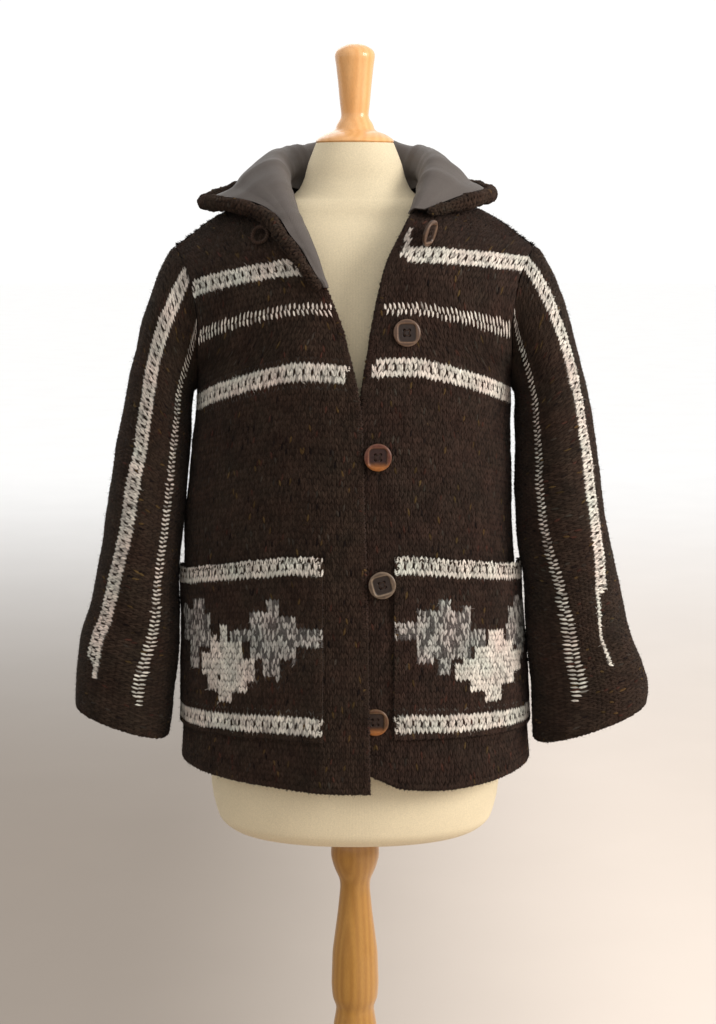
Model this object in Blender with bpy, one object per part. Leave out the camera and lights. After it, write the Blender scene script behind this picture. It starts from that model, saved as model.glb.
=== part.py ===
"""Hooded knitted cardigan, worn open at the neck by a limbless dress form on a turned wooden stand.

Metres, +Z up. The front of the garment faces -Y and +X is the wearer's left.
The origin is the centre of the stand's flat underside.
"""
import math

import bmesh
import bpy
import numpy as np
from mathutils import Matrix, Vector

for item in list(bpy.data.objects):
    bpy.data.objects.remove(item, do_unlink=True)

# Cloth and seams
KNIT = 0.0050            # thickness of the hand-knitted wall
POCKET_KNIT = 0.0040     # thickness of a patch pocket
LINING = 0.0010          # thickness of the woven hood lining
SEAM = 0.0003            # clearance between pieces that are sewn together
HALF_SEAM = SEAM / 2
REST = 0.0006            # clearance between pieces that lie on each other

# Body of the cardigan
HEM = 0.803              # height of the hem over the floor
ROUND = 2.3              # exponent of the body's rounded cross-section
SHOULDER_DROP = 0.110    # height over which a front or back bends over into the shoulder seam
NECK_HALF = 0.078        # half the width of the neck hole at the shoulder seams
BACK_NECK_BEND = 56.0    # degrees of that bend at the middle of the back neck
LAP = KNIT + REST        # how far the upper front stands out over the under front
LAP_FLAT = 0.028         # distance from the middle up to which it does so in full
LAP_FADE = 0.070         # distance from there over which it falls back
LAP_TOP = 1.245          # height from which the fronts part
LAP_TOP_FADE = 0.080
BUTTON_LIFT = 0.0065     # extra room where the upper front covers the lowest button
BUTTON_LIFT_TOP = 0.965  # height from which that room opens downwards
BUTTON_LIFT_FADE = 0.050
BODY_MIDDLE = 1.10       # height of a point inside the body, from which its walls face away
TALL_SHARE = 0.3         # how much a wall's height counts against its X and Y in that
SMALL_TURN = 0.01        # step for a slope, in radians or in climb

SHOULDER_COLUMNS = ("out", "height")
SHOULDER = (
    (0.000, 1.4670),
    (NECK_HALF, 1.4670),
    (0.100, 1.4600),
    (0.130, 1.4490),
    (0.165, 1.4310),
    (0.190, 1.4120),
    (0.206, 1.4010),
    (0.230, 1.3820),
)

# How far the hem rises at each X: on the two fronts (right is the wearer's, at -X) and on the back
HEM_COLUMNS = ("x", "front_right", "front_left", "back")
HEMS = (
    (-0.2050, 0.0100, 0.0176, 0.0100),
    (-0.1400, 0.0055, 0.0176, 0.0060),
    (-0.0600, 0.0010, 0.0176, 0.0020),
    (0.0180, 0.0000, 0.0176, 0.0000),
    (0.0380, 0.0000, 0.0072, 0.0000),
    (0.0735, 0.0000, 0.0000, 0.0000),
    (0.1500, 0.0000, 0.0005, 0.0010),
    (0.2050, 0.0080, 0.0080, 0.0080),
)

# One row for each ring of points. climb goes 0 to 1 from the hem to the bend, and 1 to 2 over the bend.
# minus_x and plus_x are half widths on the two sides, front and back are depths, and edge is the
# share of the half width that is left beside the armhole.
BODY_COLUMNS = ("climb", "minus_x", "plus_x", "front", "back", "edge")
BODY = (
    (0.000, 0.2030, 0.2045, 0.1500, 0.1320, 1.0000),
    (0.107, 0.2005, 0.2010, 0.1500, 0.1330, 1.0000),
    (0.200, 0.2000, 0.1985, 0.1495, 0.1330, 1.0000),
    (0.300, 0.1985, 0.1935, 0.1490, 0.1310, 1.0000),
    (0.390, 0.1975, 0.1885, 0.1480, 0.1280, 1.0000),
    (0.473, 0.1975, 0.1840, 0.1470, 0.1250, 1.0000),
    (0.570, 0.1965, 0.1815, 0.1460, 0.1220, 1.0000),
    (0.680, 0.1910, 0.1795, 0.1435, 0.1190, 1.0000),
    (0.780, 0.1850, 0.1780, 0.1405, 0.1180, 1.0000),
    (0.869, 0.1805, 0.1780, 0.1370, 0.1180, 1.0000),
    (0.930, 0.1885, 0.1880, 0.1330, 0.1180, 0.9416),
    (1.000, 0.1990, 0.1990, 0.1280, 0.1180, 0.8819),
    (1.167, 0.2040, 0.2040, 0.1260, 0.1180, 0.8725),
    (1.333, 0.2070, 0.2070, 0.1260, 0.1180, 0.8841),
    (1.500, 0.2090, 0.2090, 0.1260, 0.1180, 0.9091),
    (1.667, 0.2110, 0.2110, 0.1260, 0.1180, 0.9336),
    (1.833, 0.2130, 0.2130, 0.1260, 0.1180, 0.9531),
    (2.000, 0.2140, 0.2140, 0.1260, 0.1180, 0.9626),
)
ARMPIT_ROW = 9           # the row in which the armhole begins
POCKET_ROWS = (1, 5)     # the rows of a pocket's bottom and top edges

# Front edges, as X by height: the wearer's right front laps over the left one below the V.
EDGE_COLUMNS = ("height", "upper", "under")
EDGES = (
    (0.803, 0.0170, -0.0200),
    (1.040, 0.0130, -0.0190),
    (1.150, 0.0095, -0.0140),
    (1.235, 0.0057, 0.0050),
    (1.284, -0.0048, 0.0130),
    (1.318, -0.0142, 0.0185),
    (1.357, -0.0302, 0.0268),
    (1.386, -0.0418, 0.0350),
    (1.412, -0.0548, 0.0480),
    (1.435, -0.0662, 0.0605),
    (1.452, -0.0720, 0.0710),
    (1.463, -0.0765, 0.0765),
    (1.467, -NECK_HALF, NECK_HALF),
)
POCKET_EDGE = {-1: 0.035, 1: 0.043}   # distance of each pocket's inner edge from the middle
EDGE_BAND = 0.016        # least distance from a front edge to the next line of points
EDGE_CELLS = 3           # cells between a front edge and the pocket's line
SIDE_CELLS = 9           # cells from there to the side seam
NECK_CELLS = 6           # cells across the back below the neck hole
BLADE_CELLS = 7          # cells from there to each side seam
POCKET_GAPE = {-1: 0.002, 1: 0.007}   # how far each pocket's outer top corner stands off
POCKET_SWEEP = 0.85      # share of a half wave of that from the inner edge to the side
POCKET_GAPE_POWER = 3    # how fast it grows towards the top edge
ARMHOLE_GAP = 0.0004     # clearance between a sleeve and the armhole's edge

# Sleeves, as a row for each ring: its outer and inner points seen from the front, its depth and how
# far forward its middle is. own is 0 on the armhole's edge and 1 where a ring has its own shape.
SLEEVE_COLUMNS = ("out_x", "out_z", "in_x", "in_z", "depth", "middle", "own")
SLEEVE_PLUS_X = (
    (0.2190, 1.3920, 0.1815, 1.2395, 0.078, 0.000, 0.35),
    (0.2285, 1.3690, 0.1835, 1.2375, 0.079, -0.001, 0.70),
    (0.2385, 1.3390, 0.1850, 1.2330, 0.079, -0.003, 0.92),
    (0.2470, 1.3100, 0.1855, 1.2250, 0.078, -0.006, 1.00),
    (0.2580, 1.2670, 0.1850, 1.2050, 0.076, -0.012, 1.00),
    (0.2690, 1.2170, 0.1845, 1.1700, 0.073, -0.020, 1.00),
    (0.2775, 1.1550, 0.1840, 1.1200, 0.070, -0.028, 1.00),
    (0.2860, 1.0980, 0.1865, 1.0700, 0.068, -0.034, 1.00),
    (0.2955, 1.0460, 0.1950, 1.0250, 0.065, -0.038, 1.00),
    (0.3060, 1.0040, 0.1960, 0.9880, 0.063, -0.040, 1.00),
    (0.3165, 0.9620, 0.1990, 0.9450, 0.060, -0.041, 1.00),
    (0.3305, 0.9260, 0.2030, 0.9080, 0.058, -0.042, 1.00),
    (0.3375, 0.9010, 0.2050, 0.8740, 0.058, -0.042, 1.00),
    (0.3355, 0.8820, 0.2070, 0.8380, 0.060, -0.042, 1.00),
)
SLEEVE_MINUS_X = (
    (0.2195, 1.3880, 0.1840, 1.2385, 0.078, 0.000, 0.35),
    (0.2275, 1.3660, 0.1865, 1.2365, 0.079, -0.001, 0.70),
    (0.2360, 1.3400, 0.1880, 1.2320, 0.079, -0.003, 0.92),
    (0.2435, 1.3120, 0.1880, 1.2240, 0.078, -0.006, 1.00),
    (0.2525, 1.2730, 0.1885, 1.2030, 0.076, -0.012, 1.00),
    (0.2620, 1.2270, 0.1900, 1.1700, 0.073, -0.020, 1.00),
    (0.2725, 1.1700, 0.1935, 1.1250, 0.070, -0.028, 1.00),
    (0.2815, 1.1100, 0.1985, 1.0750, 0.068, -0.034, 1.00),
    (0.2900, 1.0580, 0.2040, 1.0250, 0.065, -0.038, 1.00),
    (0.3005, 1.0060, 0.2020, 0.9800, 0.063, -0.040, 1.00),
    (0.3135, 0.9640, 0.2040, 0.9370, 0.060, -0.041, 1.00),
    (0.3190, 0.9310, 0.2080, 0.9010, 0.057, -0.042, 1.00),
    (0.3215, 0.9040, 0.2120, 0.8690, 0.055, -0.042, 1.00),
    (0.3215, 0.8780, 0.2165, 0.8420, 0.053, -0.042, 1.00),
)
SLEEVE_ROUND = 2.2       # exponent of a sleeve's rounded cross-section

# Hood, as a row for each station along the neckline. along is -1 to 1 over the back neck; past
# that it goes down the front edges by HOOD_STEP of height for each unit. heading is the
# direction away from the neck (0 back, 90 sideways); lie is 0 where the hood stands up from the
# neck and 1 where it lies on the front. The profile runs from the neckline over a crest, down to a
# keel and up to the rim, in metres out from the neckline and up from it.
HOOD_STEP = 0.100
HOOD_COLUMNS = ("along", "heading", "lie", "crest_out", "crest_up", "keel_out", "keel_up", "keel_wide",
                "rim_out", "rim_up")
HOOD = (
    (-2.11, -130.0, 1.00, 0.0013, 0.0012, 0.0026, 0.0018, 0.0013, 0.0040, 0.0026),
    (-1.90, -130.0, 1.00, 0.0032, 0.0020, 0.0060, 0.0028, 0.0028, 0.0090, 0.0038),
    (-1.57, -128.0, 1.00, 0.0055, 0.0050, 0.0113, 0.0054, 0.0050, 0.0168, 0.0060),
    (-1.30, -118.0, 0.80, 0.0080, 0.0105, 0.0170, 0.0095, 0.0075, 0.0270, 0.0075),
    (-1.10, -104.0, 0.35, 0.0110, 0.0230, 0.0390, 0.0125, 0.0180, 0.0610, 0.0000),
    (-1.00, -90.0, 0.00, 0.0140, 0.0360, 0.0680, 0.0000, 0.0300, 0.0970, -0.0140),
    (-0.86, -68.0, 0.00, 0.0180, 0.0490, 0.0720, -0.0080, 0.0320, 0.1030, -0.0180),
    (-0.68, -52.0, 0.00, 0.0220, 0.0610, 0.0740, -0.0280, 0.0380, 0.1020, -0.0090),
    (-0.54, -38.0, 0.00, 0.0250, 0.0690, 0.0760, -0.0650, 0.0500, 0.1070, 0.0110),
    (-0.30, -20.0, 0.00, 0.0260, 0.0740, 0.0770, -0.0850, 0.0560, 0.1090, 0.0420),
    (0.00, 0.0, 0.00, 0.0260, 0.0750, 0.0780, -0.0900, 0.0560, 0.1100, 0.0520),
    (0.30, 20.0, 0.00, 0.0260, 0.0740, 0.0770, -0.0850, 0.0560, 0.1090, 0.0420),
    (0.54, 38.0, 0.00, 0.0250, 0.0710, 0.0760, -0.0650, 0.0500, 0.1070, 0.0110),
    (0.68, 52.0, 0.00, 0.0220, 0.0640, 0.0720, -0.0280, 0.0380, 0.0980, -0.0070),
    (0.86, 68.0, 0.00, 0.0180, 0.0520, 0.0660, -0.0060, 0.0320, 0.0910, -0.0120),
    (1.00, 90.0, 0.00, 0.0140, 0.0370, 0.0560, 0.0080, 0.0280, 0.0760, -0.0020),
    (1.10, 104.0, 0.35, 0.0110, 0.0230, 0.0340, 0.0140, 0.0160, 0.0500, 0.0040),
    (1.33, 118.0, 0.80, 0.0050, 0.0070, 0.0095, 0.0070, 0.0050, 0.0140, 0.0070),
)
PROFILE_CELLS = 14       # cells from the neckline to the rim
CURVE_STEPS = 12         # fine steps between two points of a smooth curve
EASE = 5                 # passes that even the hood out along the neckline
HOOD_THIN = 0.25         # share of the knit's thickness that is left at the hood's two front ends
HOOD_TAPER = (0.55, 0.25)    # stretch of the neckline over which it thins at -X and +X
ROLL = 0.0070            # radius of the rolled knitted edging on the hood's rim
ROLL_THIN = 0.55         # share of that radius at the edging's ends
ROLL_TAPER = (0.35, 0.22)
ROLL_GAP = 0.0018        # distance between the rim and the edging's round
ROLL_SIDES = 8

# Looped cord on the rim, for the collar's button
LOOP_X = -0.098          # where it hangs from the rolled edging
LOOP_RADIUS = 0.0095
LOOP_CORD = 0.0019
LOOP_STANDS = 0.0045     # how far it stands off the curved front
LOOP_SIDES = (14, 6)     # points round the loop and round its cord
LOOP_PASSES = 8          # passes that seat it between the edging and the front
RIM_STEPS = 10           # fine steps between two points of the rim for that

# Buttons: where each one is sewn, the turn of its square hollow, what it stands over, and for one
# that has swung up on its thread, how far and round an axis that leans how far from upright
BUTTON_COLUMNS = ("name", "x", "height", "turn", "stands", "swing", "lean")
BUTTONS = (
    ("button_1", 0.0765, 1.412, 10.0, 0.0, 68.0, 40.0),
    ("button_2", 0.0561, 1.311, 0.0, REST, 0.0, 0.0),
    ("button_3", 0.0246, 1.177, 0.0, LAP + REST, 0.0, 0.0),
    ("button_4", 0.0293, 1.037, 15.0, LAP + REST, 0.0, 0.0),
    ("button_5", 0.0223, 0.883, 0.0, REST, 0.0, 0.0),
)
BUTTON_RADIUS = 0.0150
BUTTON_THICK = 0.0046
SHANK_RADIUS = 0.0026    # wound thread that holds a button off the cloth
BUTTON_SIDES = 16
SQUARENESS = 5           # exponent of the hollow's rounded square

# A button's section from its back to its hollow, as shares of its radius and thickness, and how
# square it is there
BUTTON_SECTION_COLUMNS = ("radius", "height", "square")
BUTTON_SECTION = (
    (0.86, 0.00, 0.0),
    (0.99, 0.30, 0.0),
    (1.00, 0.60, 0.0),
    (0.95, 1.00, 0.0),
    (0.72, 1.00, 1.0),
    (0.65, 0.55, 1.0),
)

# Dress form and stand
TORSO_COLUMNS = ("height", "half", "front", "back")
TORSO = (
    (0.7190, 0.118, 0.074, 0.074),
    (0.7212, 0.137, 0.090, 0.089),
    (0.7275, 0.1505, 0.103, 0.101),
    (0.7370, 0.1598, 0.1115, 0.110),
    (0.7490, 0.1640, 0.1150, 0.1135),
    (0.8200, 0.170, 0.118, 0.116),
    (0.9200, 0.152, 0.104, 0.100),
    (1.0200, 0.128, 0.092, 0.085),
    (1.1200, 0.138, 0.104, 0.090),
    (1.2200, 0.150, 0.122, 0.098),
    (1.3000, 0.160, 0.108, 0.100),
    (1.3600, 0.166, 0.090, 0.095),
    (1.4000, 0.164, 0.078, 0.085),
    (1.4200, 0.150, 0.070, 0.070),
    (1.4350, 0.1385, 0.0635, 0.054),
    (1.4450, 0.1228, 0.0610, 0.0475),
    (1.4525, 0.098, 0.0585, 0.040),
    (1.4580, 0.074, 0.0560, 0.036),
    (1.4665, 0.0635, 0.0530, 0.045),
    (1.4760, 0.0585, 0.050, 0.048),
    (1.4950, 0.0530, 0.048, 0.050),
    (1.5180, 0.044, 0.044, 0.044),
)
TORSO_SIDES = 24
TORSO_ROUND = 2.2
TORSO_SHARP = 60.0       # degrees between two faces that still shade as one

# Turned pieces, as radius and height from the bottom up
NECK_CAP = (
    (0.0430, 1.5183),
    (0.0452, 1.5195),
    (0.0454, 1.5212),
    (0.0412, 1.5240),
    (0.0330, 1.5288),
    (0.0232, 1.5319),
    (0.0212, 1.5333),
    (0.0216, 1.5366),
    (0.0211, 1.5398),
    (0.0181, 1.5428),
    (0.0150, 1.5454),
    (0.0153, 1.5490),
    (0.0171, 1.5639),
    (0.0189, 1.5839),
    (0.0211, 1.6040),
    (0.0231, 1.6165),
    (0.0225, 1.6200),
    (0.0165, 1.6245),
    (0.0095, 1.6275),
)
POLE = (
    (0.0210, 0.0353),
    (0.0300, 0.0400),
    (0.0300, 0.0520),
    (0.0200, 0.0600),
    (0.0185, 0.1200),
    (0.0205, 0.3000),
    (0.0190, 0.4500),
    (0.0240, 0.4600),
    (0.0262, 0.4720),
    (0.0240, 0.4840),
    (0.0222, 0.4960),
    (0.0270, 0.5080),
    (0.0283, 0.5250),
    (0.0270, 0.5650),
    (0.0205, 0.6150),
    (0.0175, 0.6450),
    (0.0183, 0.6555),
    (0.0220, 0.6625),
    (0.0256, 0.6715),
    (0.0288, 0.6835),
    (0.0284, 0.6940),
    (0.0262, 0.7050),
    (0.0215, 0.7140),
    (0.0200, 0.7187),
)
BASE = (
    (0.1950, 0.0000),
    (0.2000, 0.0050),
    (0.2000, 0.0130),
    (0.1900, 0.0170),
    (0.1780, 0.0190),
    (0.1500, 0.0290),
    (0.1200, 0.0350),
)
POLE_SIDES = 16
CAP_SIDES = 20
BASE_SIDES = 40

# Colours as linear red, green and blue
BROWN_KNIT = (0.030, 0.020, 0.016)
TAUPE = (0.150, 0.130, 0.118)
HORN = (0.100, 0.055, 0.028)
JERSEY = (0.680, 0.600, 0.440)
BEECH = (0.560, 0.270, 0.090)


def smooth(x):
    """0 below 0, 1 above 1 and a smooth step between."""
    x = min(max(x, 0.0), 1.0)
    return x * x * (3 - 2 * x)


def reader(columns, rows):
    """A function (name, key) that reads a named column at a value of the first column, smoothly."""
    keys = np.array([row[0] for row in rows], float)

    def read(name, key):
        values = np.array([row[columns.index(name)] for row in rows], float)
        key = min(max(key, keys[0]), keys[-1])
        i = min(int(np.searchsorted(keys, key, side="right")) - 1, len(keys) - 2)
        slopes = np.gradient(values, keys)
        span = keys[i + 1] - keys[i]
        t = (key - keys[i]) / span
        rise = values[i + 1] - values[i]
        start = slopes[i] * span
        end = slopes[i + 1] * span
        return float(values[i] + start * t + (3 * rise - 2 * start - end) * t * t + (start + end - 2 * rise) * t ** 3)

    return read


shoulder = reader(SHOULDER_COLUMNS, SHOULDER)
hems = reader(HEM_COLUMNS, HEMS)
body = reader(BODY_COLUMNS, BODY)
edges = reader(EDGE_COLUMNS, EDGES)
hood = reader(HOOD_COLUMNS, HOOD)


def material(name, colour, roughness):
    made = bpy.data.materials.new(name)
    made.use_nodes = True
    shader = made.node_tree.nodes["Principled BSDF"]
    shader.inputs["Base Color"].default_value = (*colour, 1.0)
    shader.inputs["Roughness"].default_value = roughness
    shader.inputs["Metallic"].default_value = 0.0
    return made


MATERIALS = {
    "knit_brown": material("knit_brown", BROWN_KNIT, 0.95),
    "lining_taupe": material("lining_taupe", TAUPE, 0.70),
    "button_horn": material("button_horn", HORN, 0.35),
    "form_jersey": material("form_jersey", JERSEY, 0.80),
    "wood_beech": material("wood_beech", BEECH, 0.35),
}


def solid(name, points, faces, finish, sharp=40.0):
    """One closed object from points and faces, with its faces pointing out."""
    mesh = bpy.data.meshes.new(name)
    mesh.from_pydata([tuple(p) for p in points], [], faces)
    shape = bmesh.new()
    shape.from_mesh(mesh)
    bmesh.ops.recalc_face_normals(shape, faces=shape.faces)
    if shape.calc_volume(signed=True) < 0:
        bmesh.ops.reverse_faces(shape, faces=shape.faces)
    shape.to_mesh(mesh)
    shape.free()
    mesh.shade_smooth()
    mesh.set_sharp_from_angle(angle=math.radians(sharp))
    mesh.materials.append(MATERIALS[finish])
    made = bpy.data.objects.new(name, mesh)
    bpy.context.scene.collection.objects.link(made)
    return made


def grid_normals(grid, closed=False):
    """Unit normals of a grid of points [row][column], which may close on itself along its columns."""
    if closed:
        wide = np.concatenate([grid[:, -1:], grid, grid[:, :1]], axis=1)
        across = (wide[:, 2:] - wide[:, :-2]) / 2
    else:
        across = np.gradient(grid, axis=1)
    along = np.gradient(grid, axis=0)
    normals = np.cross(along, across)
    return normals / np.linalg.norm(normals, axis=2, keepdims=True)


def sheet(name, outer, inner, finish, closed=False):
    """A wall between two grids of points; closed makes it a tube that is open at both ends."""
    rows, columns = outer.shape[:2]
    points = list(outer.reshape(-1, 3)) + list(inner.reshape(-1, 3))
    back = rows * columns
    last = columns if closed else columns - 1
    faces = []

    def at(i, j):
        return i * columns + j % columns

    for i in range(rows - 1):
        for j in range(last):
            a, b, c, d = at(i, j), at(i, j + 1), at(i + 1, j + 1), at(i + 1, j)
            faces += [(a, b, c), (a, c, d)]
            faces += [(back + c, back + b, back + a), (back + d, back + c, back + a)]
    for i in (0, rows - 1):
        for j in range(last):
            faces.append((at(i, j), at(i, j + 1), back + at(i, j + 1), back + at(i, j)))
    if not closed:
        for j in (0, columns - 1):
            for i in range(rows - 1):
                faces.append((at(i, j), at(i + 1, j), back + at(i + 1, j), back + at(i, j)))
    return solid(name, points, faces, finish)


def body_point(side, facing, angle, climb):
    """A point of the cardigan's outer surface. side is -1 or 1 for X, facing -1 front or 1 back.

    angle is 0 at the middle and 90 degrees at the side seam; a small minus angle crosses the middle.
    """
    power = 2 / ROUND
    here = side if angle >= 0 else -side
    half = body("minus_x" if here < 0 else "plus_x", climb)
    depth = body("front" if facing < 0 else "back", climb)
    out = half * abs(math.sin(angle)) ** power
    hem = "back" if facing > 0 else "front_right" if side < 0 else "front_left"
    rise = hems(hem, here * out) * max(1 - climb / BODY[1][0], 0.0)
    top = shoulder("height", out)
    bend = math.radians(90 * max(climb - 1, 0.0))
    straight = top - SHOULDER_DROP - HEM
    height = HEM + straight * min(climb, 1.0) + SHOULDER_DROP * math.sin(bend)
    if climb > 1 and facing > 0:
        bend *= neck_share(out)
        height = HEM + straight + SHOULDER_DROP * math.sin(bend)
    inward = depth * max(math.cos(angle), 0.0) ** power * math.cos(bend)
    return np.array([here * out, facing * inward, height + rise])


def neck_share(out):
    """How much of the full bend the back has: less over the neck hole, whose edge is the back neckline."""
    if out >= NECK_HALF:
        return 1.0
    low = BACK_NECK_BEND / 90
    return low + (1 - low) * (out / NECK_HALF) ** 3


def angle_at(side, out, climb):
    """The section angle at a distance out from the middle; minus past the middle."""
    here = side if out >= 0 else -side
    half = body("minus_x" if here < 0 else "plus_x", climb)
    share = min(abs(out) / half, 1.0)
    return math.copysign(math.asin(share ** (ROUND / 2)), out)


def side_angle(climb):
    """The section angle at the side seam or the armhole's edge."""
    share = body("edge", climb)
    if climb <= BODY[ARMPIT_ROW][0]:
        return math.pi / 2
    return math.asin(min(share, 1.0) ** (ROUND / 2))


def edge_height(climb):
    """Height of a front edge's point in the row climb."""
    top = SHOULDER[0][1]
    bend = math.radians(90 * max(climb - 1, 0.0))
    return HEM + (top - SHOULDER_DROP - HEM) * min(climb, 1.0) + SHOULDER_DROP * math.sin(bend)


def lap(side, out, height):
    """How far the wearer's right front stands out where it lies over the left front."""
    if side > 0:
        return 0.0
    spread = 1 - smooth((out - LAP_FLAT) / LAP_FADE)
    above = 1 - smooth((height - LAP_TOP) / LAP_TOP_FADE)
    low = smooth((BUTTON_LIFT_TOP - height) / BUTTON_LIFT_FADE)
    return (LAP * above + BUTTON_LIFT * low) * spread


def front_point(side, angle, climb):
    point = body_point(side, -1, angle, climb)
    point[1] -= lap(side, side * point[0], point[2])
    return point


def seam_clear(grid, facing):
    """The points kept on their own side of the side and shoulder seams."""
    if facing < 0:
        grid[:, :, 1] = np.minimum(grid[:, :, 1], -HALF_SEAM)
    else:
        grid[:, :, 1] = np.maximum(grid[:, :, 1], HALF_SEAM)
    return grid


def front_grid(side):
    """Outer points of one front, from its front edge to the side seam and armhole."""
    rows = []
    for row in BODY:
        climb = row[0]
        edge = side * edges("upper" if side < 0 else "under", edge_height(climb))
        line = max(POCKET_EDGE[side], edge + EDGE_BAND)
        start = angle_at(side, edge, climb)
        middle = angle_at(side, line, climb)
        stop = side_angle(climb)
        inner = [start + (middle - start) * i / EDGE_CELLS for i in range(EDGE_CELLS)]
        outer = [middle + (stop - middle) * i / SIDE_CELLS for i in range(SIDE_CELLS + 1)]
        rows.append([front_point(side, a, climb) for a in inner + outer])
    return np.array(rows)


def back_grid():
    rows = []
    for row in BODY:
        climb = row[0]
        row = []
        for side in (-1, 1):
            neck = angle_at(side, NECK_HALF, climb)
            stop = side_angle(climb)
            half = [neck * i / (NECK_CELLS // 2) for i in range(1, NECK_CELLS // 2)]
            half += [neck + (stop - neck) * i / BLADE_CELLS for i in range(BLADE_CELLS + 1)]
            points = [body_point(side, 1, a, climb) for a in half]
            row = points[::-1] + [body_point(1, 1, 0.0, climb)] if side < 0 else row + points
        rows.append(row)
    return np.array(rows)


def outward(grid, normals):
    """The normals turned so that they point away from the body's middle."""
    middle = np.array([0.0, 0.0, BODY_MIDDLE])
    away = (grid - middle) * np.array([1, 1, TALL_SHARE])
    return normals * np.sign(np.sum(normals * away))


def build_body():
    """Both fronts, the back and the two pockets. Returns the grids that other pieces start from."""
    grids = {}
    for side, name, pocket in ((-1, "front_right", "pocket_right"), (1, "front_left", "pocket_left")):
        outer = front_grid(side)
        normals = outward(outer, grid_normals(outer))
        inner = seam_clear(outer - normals * KNIT, -1)
        outer = seam_clear(outer, -1)
        sheet(name, outer, inner, "knit_brown")
        grids[side] = (outer, normals)
        build_pocket(pocket, side, outer, normals)
    outer = back_grid()
    normals = outward(outer, grid_normals(outer))
    inner = seam_clear(outer - normals * KNIT, 1)
    outer = seam_clear(outer, 1)
    sheet("back", outer, inner, "knit_brown")
    grids["back"] = (outer, normals)
    return grids


def build_pocket(name, side, outer, normals):
    """A patch pocket on the front's own points, moved out, with its outer top corner standing off."""
    low, high = POCKET_ROWS
    patch = outer[low:high + 1, EDGE_CELLS:].copy()
    turned = normals[low:high + 1, EDGE_CELLS:]
    rows, columns = patch.shape[:2]
    up = np.linspace(0, 1, rows)[:, None, None] ** POCKET_GAPE_POWER
    across = np.linspace(0, 1, columns)[None, :, None]
    gape = POCKET_GAPE[side] * up * np.sin(across * math.pi * POCKET_SWEEP)
    near = patch + turned * (SEAM + gape)
    far = patch + turned * (SEAM + gape + POCKET_KNIT)
    sheet(name, seam_clear(far, -1), seam_clear(near, -1), "knit_brown")


def build_sleeve(name, side, rings, grids):
    """A tube from the armhole's edge down to the cuff, open at both ends."""
    front = grids[side][0][ARMPIT_ROW:, -1]
    back = grids["back"][0][ARMPIT_ROW:, -1 if side > 0 else 0]
    loop = list(front) + list(back[-2:0:-1])
    loop = np.array(loop)
    loop[0, 1] = 0.0
    loop[len(front) - 1, 1] = 0.0
    loop[:, 0] += side * ARMHOLE_GAP
    count = len(loop)
    power = 2 / SLEEVE_ROUND
    rows = [loop]
    for ring in rings:
        row = dict(zip(SLEEVE_COLUMNS, ring))
        outer = np.array([side * row["out_x"], 0, row["out_z"]])
        inner = np.array([side * row["in_x"], 0, row["in_z"]])
        centre = (outer + inner) / 2 + np.array([0, row["middle"], 0])
        axis = (outer - inner) / 2
        points = []
        for i in range(count):
            turn = math.pi - 2 * math.pi * i / count
            reach = math.copysign(abs(math.cos(turn)) ** power, math.cos(turn))
            depth = math.copysign(abs(math.sin(turn)) ** power, math.sin(turn))
            points.append(centre + axis * reach - np.array([0, row["depth"] * depth, 0]))
        rows.append(loop * (1 - row["own"]) + np.array(points) * row["own"])
    grid = np.array(rows)
    normals = grid_normals(grid, closed=True)
    middle = grid.mean(axis=1, keepdims=True)
    normals *= np.sign(np.sum(normals[3:] * (grid[3:] - middle[3:])))
    inner = grid - normals * KNIT
    if side > 0:
        inner[0, :, 0] = np.maximum(inner[0, :, 0], grid[0, :, 0])
    else:
        inner[0, :, 0] = np.minimum(inner[0, :, 0], grid[0, :, 0])
    sheet(name, grid, inner, "knit_brown", closed=True)


def neckline_points(grids):
    """The body's own points along the neckline, as (along, point, outward normal, way into the cloth)."""
    found = []
    for side in (-1, 1):
        outer, normals = grids[side]
        for i in range(len(BODY) - 1, 0, -1):
            along = side * (1 + (SHOULDER[0][1] - edge_height(BODY[i][0])) / HOOD_STEP)
            if HOOD[0][0] - 0.001 <= along <= HOOD[-1][0] + 0.001:
                found.append((along, outer[i, 0], normals[i, 0], outer[i, 1] - outer[i, 0]))
    outer, normals = grids["back"]
    middle = BLADE_CELLS + NECK_CELLS // 2
    for j in range(middle - NECK_CELLS // 2 + 1, middle + NECK_CELLS // 2):
        point = outer[-1, j]
        found.append((point[0] / NECK_HALF, point, normals[-1, j], outer[-2, j] - point))
    return sorted(found, key=lambda item: item[0])


def curve_through(points, samples):
    """samples + 1 points, evenly spaced by length, on a smooth curve through the given points."""
    points = np.array(points)
    steps = np.linalg.norm(np.diff(points, axis=0), axis=1) ** 0.5
    keys = np.concatenate([[0], np.cumsum(steps)])
    slopes = np.gradient(points, keys, axis=0)
    fine = []
    for i in range(len(points) - 1):
        span = keys[i + 1] - keys[i]
        for t in np.linspace(0, 1, CURVE_STEPS, endpoint=False):
            rise = points[i + 1] - points[i]
            start = slopes[i] * span
            end = slopes[i + 1] * span
            fine.append(points[i] + start * t + (3 * rise - 2 * start - end) * t * t
                        + (start + end - 2 * rise) * t ** 3)
    fine.append(points[-1])
    fine = np.array(fine)
    length = np.concatenate([[0], np.cumsum(np.linalg.norm(np.diff(fine, axis=0), axis=1))])
    wanted = np.linspace(0, length[-1], samples + 1)
    return np.stack([np.interp(wanted, length, fine[:, k]) for k in range(3)], axis=1)


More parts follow.
